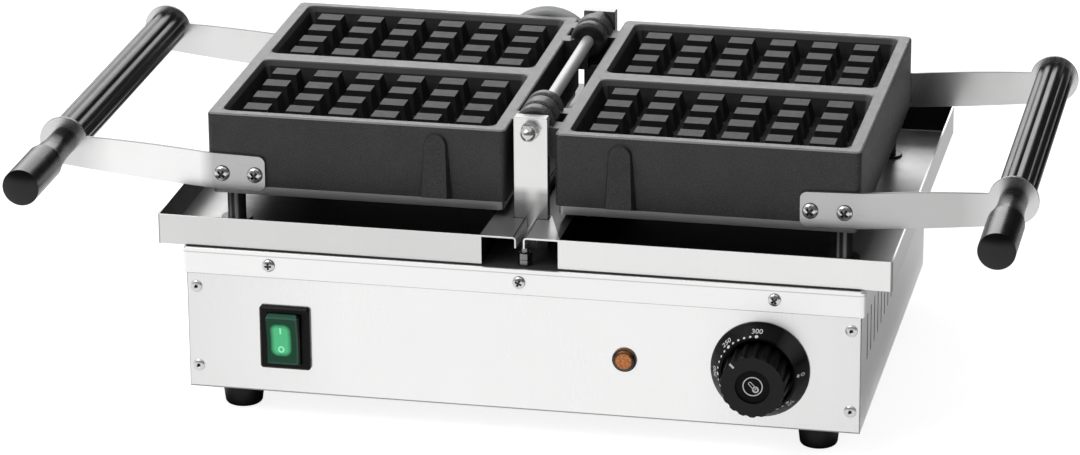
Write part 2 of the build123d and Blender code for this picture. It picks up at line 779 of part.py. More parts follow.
def mould_casting(elbow_x, rib_x, front):
    # front is the side of the right-hand casting that faces the viewer once it is in place.
    with BuildPart() as body:
        with BuildSketch(Plane.XY.offset(rim_height)):
            with Locations((mould_center_x, 0)):
                RectangleRounded(mould_width, mould_length, mould_corner_radius)
        extrude(amount=-mould_height)
        fillet(body.faces().sort_by(Axis.Z)[-1].edges(), mould_rim_round)
        for sy in (-1, 1):
            with BuildSketch(Plane.XY.offset(rim_height)):
                with Locations((mould_center_x, sy * cavity_spacing / 2)):
                    RectangleRounded(cavity_width, cavity_length, cavity_corner_radius)
            extrude(amount=-cavity_depth, taper=cavity_draft, mode=Mode.SUBTRACT)
            with BuildSketch(Plane.XY.offset(cavity_floor)):
                with Locations((mould_center_x, sy * cavity_spacing / 2)):
                    with GridLocations(stud_pitch_x, stud_pitch_y, stud_columns, stud_rows):
                        Rectangle(stud_base_x, stud_base_y)
            extrude(amount=cavity_depth - stud_drop, taper=stud_draft)
        with BuildSketch(Plane.XY.offset(mould_bottom)):
            with Locations((mould_center_x, 0)):
                Rectangle(mould_width - 2 * mould_wall, mould_length - 2 * mould_wall)
            for x, y in boss_places():
                with Locations((x, y)):
                    Circle(cover_boss_radius, mode=Mode.SUBTRACT)
            pad_x = mould_outer_x - mould_wall - pad_width / 2 + overrun
            for sy in (-1, 1):
                with Locations((pad_x, sy * (mould_face_y - mould_wall - pad_depth / 2 + overrun))):
                    Rectangle(pad_width, pad_depth, mode=Mode.SUBTRACT)
        extrude(amount=ceiling_height - mould_bottom, mode=Mode.SUBTRACT)
        with BuildSketch(Plane.XY.offset(cover_floor + rest_gap)):
            for x, y in boss_places():
                with Locations((x, y)):
                    Circle(cover_boss_radius)
        extrude(amount=mould_bottom + overrun - cover_floor)
        with BuildSketch(Plane.XY.offset(cover_floor)):
            with Locations(*boss_places()):
                Circle(cover_screw / 2 + thread_gap)
        extrude(amount=cover_screw_length, mode=Mode.SUBTRACT)
        for sy in (-1, 1):
            face = front_plane(mould_face_y) if sy < 0 else rear_plane(mould_face_y)
            with BuildSketch(face):
                for x in strap_screw_xs:
                    with Locations((-sy * x, strap_screw_height)):
                        Circle(strap_screw / 2 + thread_gap)
            extrude(amount=-strap_screw_length, mode=Mode.SUBTRACT)
        add(rib(rib_x, front))
        for low, high in right_knuckles:
            at_the_end = front > 0 and low == right_knuckles[0][0]
            with BuildSketch(front_plane(-low)):
                with Locations((0, axis_height)):
                    Circle(end_knuckle_radius if at_the_end else knuckle_radius)
                with Locations(((mould_offset + overrun) / 2, rim_height - knuckle_web / 2)):
                    Rectangle(mould_offset + overrun, knuckle_web)
            extrude(amount=low - high)
        with BuildSketch(front_plane(0)):
            with Locations((0, axis_height)):
                Circle(shaft_diameter / 2 + running_gap)
        extrude(amount=mould_length, both=True, mode=Mode.SUBTRACT)
        outlet = rear_plane(mould_face_y) if front < 0 else front_plane(mould_face_y)
        with BuildSketch(outlet):
            with Locations((front * elbow_x, axis_height - elbow_drop)):
                Circle(elbow_spigot_radius + hole_gap)
        extrude(amount=-mould_wall - overrun, mode=Mode.SUBTRACT)
    return body.part


elbow_right_x = conduit_deck_x + 2 * conduit_low_arch_radius
elbow_left_x = conduit_deck_x + 2 * conduit_arch_radius
half_turn = Location((0, 0, 0), (0, 0, 180))
save(mould_casting(elbow_right_x, rib_right_x, -1), "mould_right")
save(mould_casting(elbow_left_x, rib_left_x, 1).moved(half_turn), "mould_left")

# Bottom covers: shallow trays under the castings
with BuildPart() as cover:
    with BuildSketch(Plane.XY.offset(cover_bottom)):
        with Locations((mould_center_x, 0)):
            RectangleRounded(
                mould_width - 2 * cover_inset,
                mould_length - 2 * cover_inset,
                mould_corner_radius - cover_sheet,
            )
    extrude(amount=cover_height)
    with BuildSketch(Plane.XY.offset(cover_floor)):
        with Locations((mould_center_x, 0)):
            RectangleRounded(
                mould_width - 2 * cover_inset - 2 * cover_sheet,
                mould_length - 2 * cover_inset - 2 * cover_sheet,
                mould_corner_radius - 2 * cover_sheet,
            )
    extrude(amount=cover_height, mode=Mode.SUBTRACT)
    with BuildSketch(Plane.XY.offset(cover_bottom)):
        with Locations(*boss_places()):
            Circle(cover_screw / 2 + hole_gap)
    extrude(amount=2 * cover_sheet, mode=Mode.SUBTRACT)
save(cover.part, "bottom_cover_right")
save(cover.part.moved(half_turn), "bottom_cover_left")

cover_spots = [place(down_plane(cover_bottom), x, y) for x, y in boss_places()]
cover_screws = screw_group(cover_screw, cover_screw_length, cover_spots)
save(cover_screws, "cover_screws_right")
save(cover_screws.moved(half_turn), "cover_screws_left")

# Insulation mats on the covers
inner_length = mould_length - 2 * mould_wall
inner_width = mould_width - 2 * mould_wall
with BuildPart() as insulation:
    with BuildSketch(Plane.XY.offset(cover_floor)):
        with Locations((mould_center_x, 0)):
            Rectangle(inner_width - 2 * insulation_margin, inner_length - 2 * insulation_margin)
    extrude(amount=insulation_thickness)
save(insulation.part, "insulation_right")
save(insulation.part.moved(half_turn), "insulation_left")

# Tubular heaters that snake under the mould floors
heater_height = ceiling_height - heater_gap - heater_diameter / 2


def heater(rear):
    xs = [heater_first_x + heater_pitch * run for run in range(heater_runs)]
    points = [(xs[0], rear * heater_half_length)]
    side = rear
    for run, x in enumerate(xs):
        side = -side
        points.append((x, side * heater_half_length))
        if run + 1 < heater_runs:
            points.append((xs[run + 1], side * heater_half_length))
    with BuildPart() as tube:
        with BuildLine(Plane.XY.offset(heater_height)):
            FilletPolyline(*points, radius=heater_bend)
        start = (xs[0], rear * heater_half_length, heater_height)
        with BuildSketch(Plane(origin=start, z_dir=(0, -rear, 0))):
            Circle(heater_diameter / 2)
        sweep()
    return tube.part


save(heater(1), "heater_right")
save(heater(-1).moved(half_turn), "heater_left")

# Straps on the front and rear faces of the castings, each ending in a round disc
def strap(side, direction):
    face = front_plane(mould_face_y) if direction < 0 else rear_plane(mould_face_y)
    sign = -side * direction

    def point(x, drop):
        return (sign * x, axis_height - drop)

    disc_radius = strap_disc_diameter / 2
    with BuildPart() as body:
        with BuildSketch(face) as outline:
            with BuildLine():
                Line(
                    point(strap_inner_x, strap_inner_drops[0]),
                    point(strap_bend_x, strap_bend_drops[0]),
                )
                ThreePointArc(
                    point(strap_bend_x, strap_bend_drops[0]),
                    point(strap_middle_x, strap_middle_drops[0]),
                    point(strap_neck_top_x, strap_neck_drop),
                )
                Line(point(strap_neck_top_x, strap_neck_drop), point(handle_x, handle_drop))
                Line(point(handle_x, handle_drop), point(handle_x, handle_drop + disc_radius))
                ThreePointArc(
                    point(handle_x, handle_drop + disc_radius),
                    point(strap_middle_x, strap_middle_drops[1]),
                    point(strap_bend_x, strap_bend_drops[1]),
                )
                Line(
                    point(strap_bend_x, strap_bend_drops[1]),
                    point(strap_inner_x, strap_inner_drops[1]),
                )
                Line(point(strap_inner_x, strap_inner_drops[1]), point(strap_inner_x, strap_inner_drops[0]))
            make_face()
            inner_corners = outline.vertices().group_by(Axis.X)[0 if sign > 0 else -1]
            fillet(inner_corners, strap_corner_radius)
            with Locations(point(handle_x, handle_drop)):
                Circle(disc_radius)
                Circle(bolt_diameter / 2 + hole_gap, mode=Mode.SUBTRACT)
            with Locations(*[point(x, strap_screw_drop) for x in strap_screw_xs]):
                Circle(strap_screw / 2 + hole_gap, mode=Mode.SUBTRACT)
        extrude(amount=strap_thickness)
    return body.part


sides = ((-1, "left"), (1, "right"))
for side, word in sides:
    save(strap(side, -1), f"strap_front_{word}")
    save(strap(side, 1), f"strap_rear_{word}")
    strap_spots = [place(front_plane(strap_outer_y), side * x, strap_screw_height) for x in strap_screw_xs]
    strap_spots += [place(rear_plane(strap_outer_y), -side * x, strap_screw_height) for x in strap_screw_xs]
    save(screw_group(strap_screw, strap_screw_length, strap_spots), f"strap_screws_{word}")

# Through bolts of the handles, with their heads behind the rear discs
for side, word in sides:
    with BuildPart() as bolt:
        with BuildSketch(rear_plane(strap_outer_y)):
            with Locations((-side * handle_x, handle_height)):
                RegularPolygon(bolt_head_hex, 6, major_radius=False)
        extrude(amount=bolt_head_height)
        with BuildSketch(rear_plane(strap_outer_y)):
            with Locations((-side * handle_x, handle_height)):
                Circle(bolt_diameter / 2)
        extrude(amount=-2 * strap_outer_y - bolt_reach)
    save(bolt.part, f"handle_bolt_{word}")

# Fluted grips between the discs
for side, word in sides:
    with BuildPart() as grip:
        with BuildSketch(front_plane(-mould_face_y)):
            with Locations((side * handle_x, handle_height)):
                Circle(grip_diameter / 2 - grip_lobe_radius)
                with PolarLocations(grip_diameter / 2 - grip_lobe_radius, grip_lobes):
                    Circle(grip_lobe_radius)
                Circle(bolt_diameter / 2 + hole_gap, mode=Mode.SUBTRACT)
        extrude(amount=mould_length)
    save(grip.part, f"grip_{word}")

# Front handles: a neck that flares up to a small shoulder, then a smooth body with a flat dome
body_radius = handle_diameter / 2
neck_radius = handle_neck_diameter / 2
shoulder_radius = handle_shoulder_diameter / 2
shoulder_end = handle_shoulder_reach + handle_shoulder_length
dome_start = handle_length - handle_dome
dome_radius = (body_radius**2 + handle_dome**2) / (2 * handle_dome)
dome_half_angle = math.asin(body_radius / dome_radius) / 2
dome_middle = (
    dome_radius * math.sin(dome_half_angle),
    handle_length - dome_radius + dome_radius * math.cos(dome_half_angle),
)
with BuildPart() as handle:
    with BuildSketch(Plane.XZ):
        with BuildLine():
            Line((0, 0), (neck_radius, 0))
            Line((neck_radius, 0), (neck_radius, handle_neck_length))
            Spline(
                (neck_radius, handle_neck_length),
                (shoulder_radius, handle_shoulder_reach),
                tangents=((0, 1), (0.06, 1)),
            )
            Line((shoulder_radius, handle_shoulder_reach), (body_radius, shoulder_end))
            Line((body_radius, shoulder_end), (body_radius, dome_start))
            ThreePointArc((body_radius, dome_start), dome_middle, (0, handle_length))
            Line((0, handle_length), (0, 0))
        make_face()
    revolve(axis=Axis.Z)
    with BuildSketch(Plane.XY):
        Circle(bolt_diameter / 2 + thread_gap)
    extrude(amount=bolt_reach + handle_bore_spare, mode=Mode.SUBTRACT)
for side, word in sides:
    spot = place(front_plane(strap_outer_y), side * handle_x, handle_height)
    save(handle.part.moved(spot), f"handle_{word}")

# Support posts on the pan floors, which hold the open plates level
post_bottom = pan_floor + post_washer
with BuildPart() as support_posts:
    with BuildSketch(Plane.XY.offset(post_bottom)):
        with Locations(*post_places):
            Circle(post_diameter / 2)
    extrude(amount=cover_bottom - rest_gap - post_bottom)
    with BuildSketch(Plane.XY.offset(post_bottom)):
        with Locations(*post_places):
            Circle(deck_bolt / 2 + thread_gap)
    extrude(amount=deck_bolt_length - post_washer, mode=Mode.SUBTRACT)
save(support_posts.part, "support_posts")

with BuildPart() as post_washers:
    with BuildSketch(Plane.XY.offset(pan_floor)):
        with Locations(*post_places):
            Circle(post_washer_diameter / 2)
            Circle(deck_bolt / 2 + hole_gap, mode=Mode.SUBTRACT)
    extrude(amount=post_washer)
save(post_washers.part, "post_washers")

# The same screws, heads below the deck, hold the posts and the hinge brackets
deck_bolt_spots = [place(down_plane(deck_bottom), x, -y) for x, y in post_places + bracket_screw_places]
save(screw_group(deck_bolt, deck_bolt_length, deck_bolt_spots), "deck_bolts")

# Earth stud through the deck between the pans, with two nuts
stud_spot = [place(down_plane(deck_bottom), stud_x, stud_y)]
save(screw_group(stud_screw, deck_sheet + stud_height, stud_spot), "earth_stud")
nut_height = stud_screw * nut_height_share
with BuildPart() as earth_nuts:
    for level in (deck_top, deck_top + nut_height + rest_gap):
        with BuildSketch(Plane.XY.offset(level)):
            with Locations((stud_x, -stud_y)):
                RegularPolygon(stud_screw * nut_width_share / 2, 6, major_radius=False)
                Circle(stud_screw / 2 + thread_gap, mode=Mode.SUBTRACT)
        extrude(amount=nut_height)
save(earth_nuts.part, "earth_nuts")

# Rocker switch: frame and body in one, with four blade terminals
switch_spot = (switch_x, switch_height_z)
pivot_y = -panel_face_y + rocker_pivot_depth
cavity_half_width = rocker_width / 2 + rocker_side_gap
switch_face = front_plane(panel_face_y + switch_frame)
with BuildPart() as switch:
    with BuildSketch(front_plane(panel_face_y)):
        with Locations(switch_spot):
            RectangleRounded(switch_width, switch_height, switch_corner_radius)
    extrude(amount=switch_frame)
    chamfer(switch.faces().sort_by(Axis.Y)[0].edges(), switch_frame_chamfer)
    with BuildSketch(front_plane(panel_face_y)):
        with Locations(switch_spot):
            Rectangle(switch_body_width, switch_body_height)
    extrude(amount=-switch_body_depth)
    with BuildSketch(switch_face):
        with Locations(switch_spot):
            Rectangle(2 * cavity_half_width, rocker_height + 2 * rocker_end_gap)
    extrude(amount=-switch_cavity_depth, mode=Mode.SUBTRACT)
    with BuildSketch(Plane.YZ.offset(switch_x)):
        with Locations((pivot_y, switch_height_z)):
            Circle(rocker_pin_radius + running_gap)
    extrude(amount=cavity_half_width + rocker_pin_length, both=True, mode=Mode.SUBTRACT)
    with BuildSketch(front_plane(panel_face_y - switch_body_depth)):
        with Locations(switch_spot):
            with GridLocations(tab_spacing_x, tab_spacing_z, 2, 2):
                Rectangle(tab_width, tab_thickness)
    extrude(amount=-tab_length)
save(switch.part, "switch_body")

# Rocker with a hollowed face on two trunnions, tipped towards the O mark
rocker_front = -panel_face_y - switch_frame - rocker_reach
half_rocker = rocker_height / 2
with BuildPart() as rocker:
    with BuildSketch(Plane.YZ.offset(switch_x - rocker_width / 2)):
        with BuildLine():
            Polyline(
                (pivot_y + rocker_depth, switch_height_z - half_rocker),
                (rocker_front, switch_height_z - half_rocker),
                (rocker_front + rocker_hollow, switch_height_z),
                (rocker_front, switch_height_z + half_rocker),
                (pivot_y + rocker_depth, switch_height_z + half_rocker),
                close=True,
            )
        make_face()
    extrude(amount=rocker_width)
    tips = rocker.edges().filter_by(Axis.X).group_by(Axis.Y)[0]
    fillet(tips, rocker_edge_round)
    with BuildSketch(Plane.YZ.offset(switch_x)):
        with Locations((pivot_y, switch_height_z)):
            Circle(rocker_pin_radius)
    extrude(amount=rocker_width / 2 + rocker_pin_length, both=True)
rocker_axis = Axis((switch_x, pivot_y, switch_height_z), (1, 0, 0))
save(rocker.part.rotate(rocker_axis, rocker_tilt_degrees), "switch_rocker")

# Pilot lamp: snap-in body with its flange, and its lens
lamp_spot = (lamp_x, lamp_height_z)
lamp_face = front_plane(panel_face_y + lamp_flange)
with BuildPart() as lamp_body:
    with BuildSketch(front_plane(panel_face_y)):
        with Locations(lamp_spot):
            Circle(lamp_flange_diameter / 2)
    extrude(amount=lamp_flange)
    with BuildSketch(front_plane(panel_face_y)):
        with Locations(lamp_spot):
            Circle(lamp_body_diameter / 2)
    extrude(amount=-lamp_body_length)
    with BuildSketch(lamp_face):
        with Locations(lamp_spot):
            Circle(lamp_lens_diameter / 2 + running_gap)
    extrude(amount=-lamp_lens_seat, mode=Mode.SUBTRACT)
    with BuildSketch(lamp_face):
        with Locations(lamp_spot):
            Circle(lamp_bore_diameter / 2)
    extrude(amount=-lamp_bore, mode=Mode.SUBTRACT)
save(lamp_body.part, "lamp_body")

with BuildPart() as lamp_lens:
    with BuildSketch(front_plane(panel_face_y + lamp_flange - lamp_lens_seat)):
        with Locations(lamp_spot):
            Circle(lamp_lens_diameter / 2)
    extrude(amount=lamp_lens_reach)
    fillet(lamp_lens.edges().sort_by(Axis.Y)[0], lamp_lens_round)
save(lamp_lens.part, "lamp_lens")

# Thermostat: cone-shaped scale disc, switch box with its shaft, two screws and the knob
thermostat_spot = (thermostat_x, thermostat_height_z)
scale_well_radius = knob_base_diameter / 2 + scale_well_gap
scale_front_y = panel_face_y + scale_rim + scale_cone_height
with BuildPart() as scale_disc:
    with BuildSketch(front_plane(panel_face_y)):
        with Locations(thermostat_spot):
            Circle(scale_diameter / 2)
    extrude(amount=scale_rim)
    with BuildSketch(front_plane(panel_face_y + scale_rim)):
        with Locations(thermostat_spot):
            Circle(scale_diameter / 2)
    with BuildSketch(front_plane(scale_front_y)):
        with Locations(thermostat_spot):
            Circle(scale_well_radius + scale_lip_width)
    loft()
    with BuildSketch(front_plane(panel_face_y + scale_thickness)):
        with Locations(thermostat_spot):
            Circle(scale_well_radius)
    extrude(amount=scale_rim + scale_cone_height, mode=Mode.SUBTRACT)
    lip_edges = scale_disc.edges().filter_by(GeomType.CIRCLE).group_by(Axis.Y)[0]
    fillet(lip_edges, scale_lip_round)
    with BuildSketch(front_plane(panel_face_y)):
        with Locations(thermostat_spot):
            Circle(scale_recess_diameter / 2)
    extrude(amount=scale_recess, mode=Mode.SUBTRACT)
    with BuildSketch(front_plane(panel_face_y)):
        with Locations(thermostat_spot):
            Circle(thermostat_bush_radius + hole_gap)
    extrude(amount=scale_thickness, mode=Mode.SUBTRACT)
save(scale_disc.part, "scale_disc")

shaft_radius = thermostat_shaft_diameter / 2
with BuildPart() as thermostat:
    with BuildSketch(front_plane(wall_front_y)):
        with Locations(thermostat_spot):
            Rectangle(thermostat_width, thermostat_width)
    extrude(amount=-thermostat_depth)
    with BuildSketch(front_plane(wall_front_y)):
        with Locations(thermostat_spot):
            Circle(thermostat_bush_radius)
    extrude(amount=casing_sheet + thermostat_bush)
    with BuildSketch(front_plane(wall_front_y)):
        with Locations(thermostat_spot):
            Circle(shaft_radius)
        with Locations((thermostat_x, thermostat_height_z + shaft_radius * (1 + thermostat_flat_share))):
            Rectangle(thermostat_shaft_diameter, thermostat_shaft_diameter / 2, mode=Mode.SUBTRACT)
    extrude(amount=casing_sheet + thermostat_shaft_length)
    with BuildSketch(front_plane(wall_front_y)):
        with Locations(thermostat_spot):
            with GridLocations(thermostat_screw_spacing, 0, 2, 1):
                Circle(thermostat_screw / 2 + thread_gap)
    extrude(amount=-thermostat_screw_length, mode=Mode.SUBTRACT)
save(thermostat.part, "thermostat_body")

thermostat_spots = [
    place(front_plane(panel_face_y), thermostat_x + sx * thermostat_screw_spacing / 2, thermostat_height_z)
    for sx in (-1, 1)
]
save(
    screw_group(thermostat_screw, thermostat_screw_length, thermostat_spots, thermostat_head_height),
    "thermostat_screws",
)

knob_back = scale_thickness + knob_gap
knob_height = knob_front_y_reach - knob_back
with BuildPart() as knob:
    with BuildSketch(Plane.XY.offset(knob_back)):
        Circle(knob_base_diameter / 2)
    with BuildSketch(Plane.XY.offset(knob_front_y_reach)):
        Circle(knob_diameter / 2)
    loft()
    fillet(knob.edges().sort_by(Axis.Z)[-1], knob_rim_round)
    with BuildSketch(Plane.XY.offset(knob_back)):
        with PolarLocations(knob_diameter / 2 * knob_scallop_share, knob_scallops):
            Circle(knob_scallop_radius)
    extrude(amount=knob_height, mode=Mode.SUBTRACT)
    with BuildSketch(Plane.XY.offset(knob_front_y_reach)):
        Circle(knob_recess_diameter / 2)
    extrude(amount=-knob_recess, mode=Mode.SUBTRACT)
    with BuildSketch(Plane.XY.offset(knob_back)):
        Circle(knob_cup_diameter / 2)
        Circle(knob_hub_diameter / 2, mode=Mode.SUBTRACT)
    extrude(amount=knob_height - knob_recess - knob_cup_wall, mode=Mode.SUBTRACT)
    with BuildSketch(Plane.XY.offset(knob_back)):
        Circle(shaft_radius + running_gap)
        with Locations((0, shaft_radius * (1 + thermostat_flat_share) + running_gap)):
            Rectangle(2 * thermostat_shaft_diameter, thermostat_shaft_diameter / 2, mode=Mode.SUBTRACT)
    extrude(amount=thermostat_shaft_length - knob_back + knob_shaft_spare, mode=Mode.SUBTRACT)
save(knob.part.moved(place(front_plane(panel_face_y), *thermostat_spot)), "thermostat_knob")

# Mains terminal block on the casing floor
terminal_y = panel_face_y - terminal_from_rear
with BuildPart() as terminal_block:
    with BuildSketch(Plane.XY.offset(casing_bottom + casing_sheet)):
        with Locations((terminal_x, terminal_y)):
            Rectangle(terminal_width, terminal_depth)
    extrude(amount=terminal_height)
    with BuildSketch(front_plane(-terminal_y - terminal_depth)):
        with Locations((terminal_x, casing_bottom + casing_sheet + terminal_height / 2)):
            with GridLocations(terminal_way_pitch, 0, terminal_ways, 1):
                Circle(terminal_way_radius)
    extrude(amount=2 * terminal_depth, mode=Mode.SUBTRACT)
save(terminal_block.part, "terminal_block")

# Cable gland and its nut in the rear panel
gland_spot = (-gland_x, gland_height_z)
with BuildPart() as cable_gland:
    with BuildSketch(rear_plane(panel_face_y)):
        with Locations(gland_spot):
            RegularPolygon(gland_hex_radius, 6, major_radius=False)
    extrude(amount=gland_hex_length)
    with BuildSketch(rear_plane(panel_face_y + gland_hex_length)):
        with Locations(gland_spot):
            Circle(gland_dome_radius)
    extrude(amount=gland_dome_length)
    fillet(cable_gland.edges().filter_by(GeomType.CIRCLE).sort_by(Axis.Y)[-1], gland_dome_round)
    with BuildSketch(rear_plane(panel_face_y)):
        with Locations(gland_spot):
            Circle(gland_thread_radius)
    extrude(amount=-gland_thread_length)
    with BuildSketch(rear_plane(0)):
        with Locations(gland_spot):
            Circle(gland_bore_radius)
    extrude(amount=casing_depth, mode=Mode.SUBTRACT)
save(cable_gland.part, "cable_gland")

with BuildPart() as gland_ring:
    with BuildSketch(rear_plane(wall_front_y)):
        with Locations(gland_spot):
            RegularPolygon(gland_hex_radius, 6, major_radius=False)
            Circle(gland_thread_radius + thread_gap, mode=Mode.SUBTRACT)
    extrude(amount=-gland_nut_length)
save(gland_ring.part, "gland_nut")

# Conduits from the deck to the plates, with their glands and elbows
with BuildPart() as conduit_glands:
    with BuildSketch(Plane.XY.offset(deck_top)):
        with Locations(*conduit_places):
            Circle(deck_gland_radius)
    extrude(amount=deck_gland_length)
    with BuildSketch(Plane.XY.offset(deck_top)):
        with Locations(*conduit_places):
            Circle(deck_gland_spigot)
    extrude(amount=-deck_sheet - deck_gland_below)
save(conduit_glands.part, "conduit_glands")


def conduit(side, radius, drop):
    x = side * conduit_deck_x
    spring_z = axis_height - drop
    start = (x, conduit_y, deck_top + deck_gland_length)
    far_x = x + side * 2 * radius
    with BuildPart() as tube:
        with BuildLine():
            Line(start, (x, conduit_y, spring_z))
            ThreePointArc(
                (x, conduit_y, spring_z),
                (x + side * radius, conduit_y, spring_z + radius),
                (far_x, conduit_y, spring_z),
            )
            Line((far_x, conduit_y, spring_z), (far_x, conduit_y, axis_height - elbow_top_drop))
        with BuildSketch(Plane(origin=start, z_dir=(0, 0, 1))):
            Circle(conduit_diameter / 2)
        sweep()
    return tube.part


save(conduit(-1, conduit_arch_radius, conduit_arch_drop), "conduit_left")
save(conduit(1, conduit_low_arch_radius, conduit_low_arch_drop), "conduit_right")


def elbow(x):
    center_z = axis_height - elbow_drop
    with BuildPart() as body:
        with BuildSketch(rear_plane(mould_face_y)):
            with Locations((-x, center_z)):
                Circle(elbow_flange_radius)
        extrude(amount=elbow_flange)
        with BuildSketch(rear_plane(mould_face_y)):
            with Locations((-x, center_z)):
                Circle(elbow_neck_radius)
        extrude(amount=conduit_y - mould_face_y)
        with BuildSketch(rear_plane(mould_face_y)):
            with Locations((-x, center_z)):
                Circle(elbow_spigot_radius)
        extrude(amount=-mould_wall)
        with BuildSketch(Plane.XY.offset(axis_height - elbow_top_drop)):
            with Locations((x, conduit_y)):
                RectangleRounded(elbow_box_width, elbow_box_width, elbow_box_round)
        extrude(amount=elbow_top_drop - elbow_drop - elbow_box_width / 2)
    return body.part


save(elbow(-elbow_left_x), "conduit_elbow_left")
save(elbow(elbow_right_x), "conduit_elbow_right")
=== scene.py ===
"""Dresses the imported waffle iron: edges, finishes, marks, fasteners, light and camera.

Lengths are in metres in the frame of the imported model, with Z up and the front at -Y.
"""

import json
import logging
from dataclasses import dataclass
from enum import Enum
from functools import partial
from math import cos, pi, radians, sin
from typing import Any, Callable, Optional, Sequence, Union

import bmesh
import bpy
from bmesh.types import BMEdge, BMesh, BMFace, BMVert
from mathutils import Matrix, Vector


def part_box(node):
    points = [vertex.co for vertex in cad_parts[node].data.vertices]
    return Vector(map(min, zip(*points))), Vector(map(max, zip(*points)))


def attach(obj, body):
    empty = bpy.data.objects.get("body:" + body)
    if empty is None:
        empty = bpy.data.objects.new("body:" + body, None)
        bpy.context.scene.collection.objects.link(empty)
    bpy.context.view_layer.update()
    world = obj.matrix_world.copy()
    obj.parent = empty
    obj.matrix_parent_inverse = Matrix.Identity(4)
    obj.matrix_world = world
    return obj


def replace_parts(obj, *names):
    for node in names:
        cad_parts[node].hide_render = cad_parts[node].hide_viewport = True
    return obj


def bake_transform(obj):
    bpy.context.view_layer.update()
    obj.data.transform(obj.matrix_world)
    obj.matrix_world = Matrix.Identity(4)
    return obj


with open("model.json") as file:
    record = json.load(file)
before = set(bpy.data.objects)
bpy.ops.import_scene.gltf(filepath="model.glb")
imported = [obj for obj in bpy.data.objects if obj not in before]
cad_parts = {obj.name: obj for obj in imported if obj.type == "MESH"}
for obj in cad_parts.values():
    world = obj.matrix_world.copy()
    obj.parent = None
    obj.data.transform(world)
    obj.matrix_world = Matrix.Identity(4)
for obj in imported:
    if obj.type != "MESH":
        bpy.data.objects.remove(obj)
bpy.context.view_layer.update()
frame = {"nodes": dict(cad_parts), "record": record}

MM = 0.001
LOG = logging.getLogger("waffle_iron")
Colour = tuple[float, float, float]
Place = tuple[float, float, float]
Box = tuple[Vector, Vector]
EdgeTest = Callable[[BMEdge], bool]
FaceTest = Callable[[BMFace], bool]
Number = Union["Value", float]
SIDES = ("left", "right")
BLACK: Colour = (0.0, 0.0, 0.0)


def grey(level: float, blue: Optional[float] = None) -> Colour:
    """Gives a grey, whose blue may differ a little."""
    return level, level, level if blue is None else blue


class Grain(Enum):
    """How much longer the brush lines of a sheet are along each axis."""

    X = (60.0, 1.0, 1.0)
    Y = (1.0, 60.0, 1.0)
    Z = (1.0, 1.0, 60.0)


class Value:
    """A number socket whose arithmetic adds Math nodes."""

    def __init__(self, graph: "Graph", socket: bpy.types.NodeSocket) -> None:
        """Keeps the graph and the socket."""
        self.graph = graph
        self.socket = socket

    def math(self, operation: str, *others: Number) -> "Value":
        """Adds one Math node with this value as its first input."""
        return self.graph.value("ShaderNodeMath", {"operation": operation}, dict(enumerate((self, *others))))

    def __add__(self, other: Number) -> "Value":
        """Adds."""
        return self.math("ADD", other)

    __radd__ = __add__

    def __sub__(self, other: Number) -> "Value":
        """Subtracts."""
        return self.math("SUBTRACT", other)

    def __rsub__(self, other: float) -> "Value":
        """Subtracts from a number."""
        return self.graph.value("ShaderNodeMath", {"operation": "SUBTRACT"}, {0: other, 1: self})

    def __mul__(self, other: Number) -> "Value":
        """Multiplies."""
        return self.math("MULTIPLY", other)

    __rmul__ = __mul__

    def __truediv__(self, other: Number) -> "Value":
        """Divides."""
        return self.math("DIVIDE", other)

    def __abs__(self) -> "Value":
        """Takes the size without the sign."""
        return self.math("ABSOLUTE")

    def reach(self, other: "Value") -> "Value":
        """Gives how far the point with these two coordinates lies from zero."""
        return (self * self + other * other).math("SQRT")

    def below(self, limit: float, soft: float) -> "Value":
        """Is 1 below a limit and 0 above it, with a soft step between."""
        return ((limit - self) / soft + 0.5).math("MAXIMUM", 0.0).math("MINIMUM", 1.0)

    def above(self, limit: float, soft: float) -> "Value":
        """Is 1 above a limit and 0 below it."""
        return 1.0 - self.below(limit, soft)


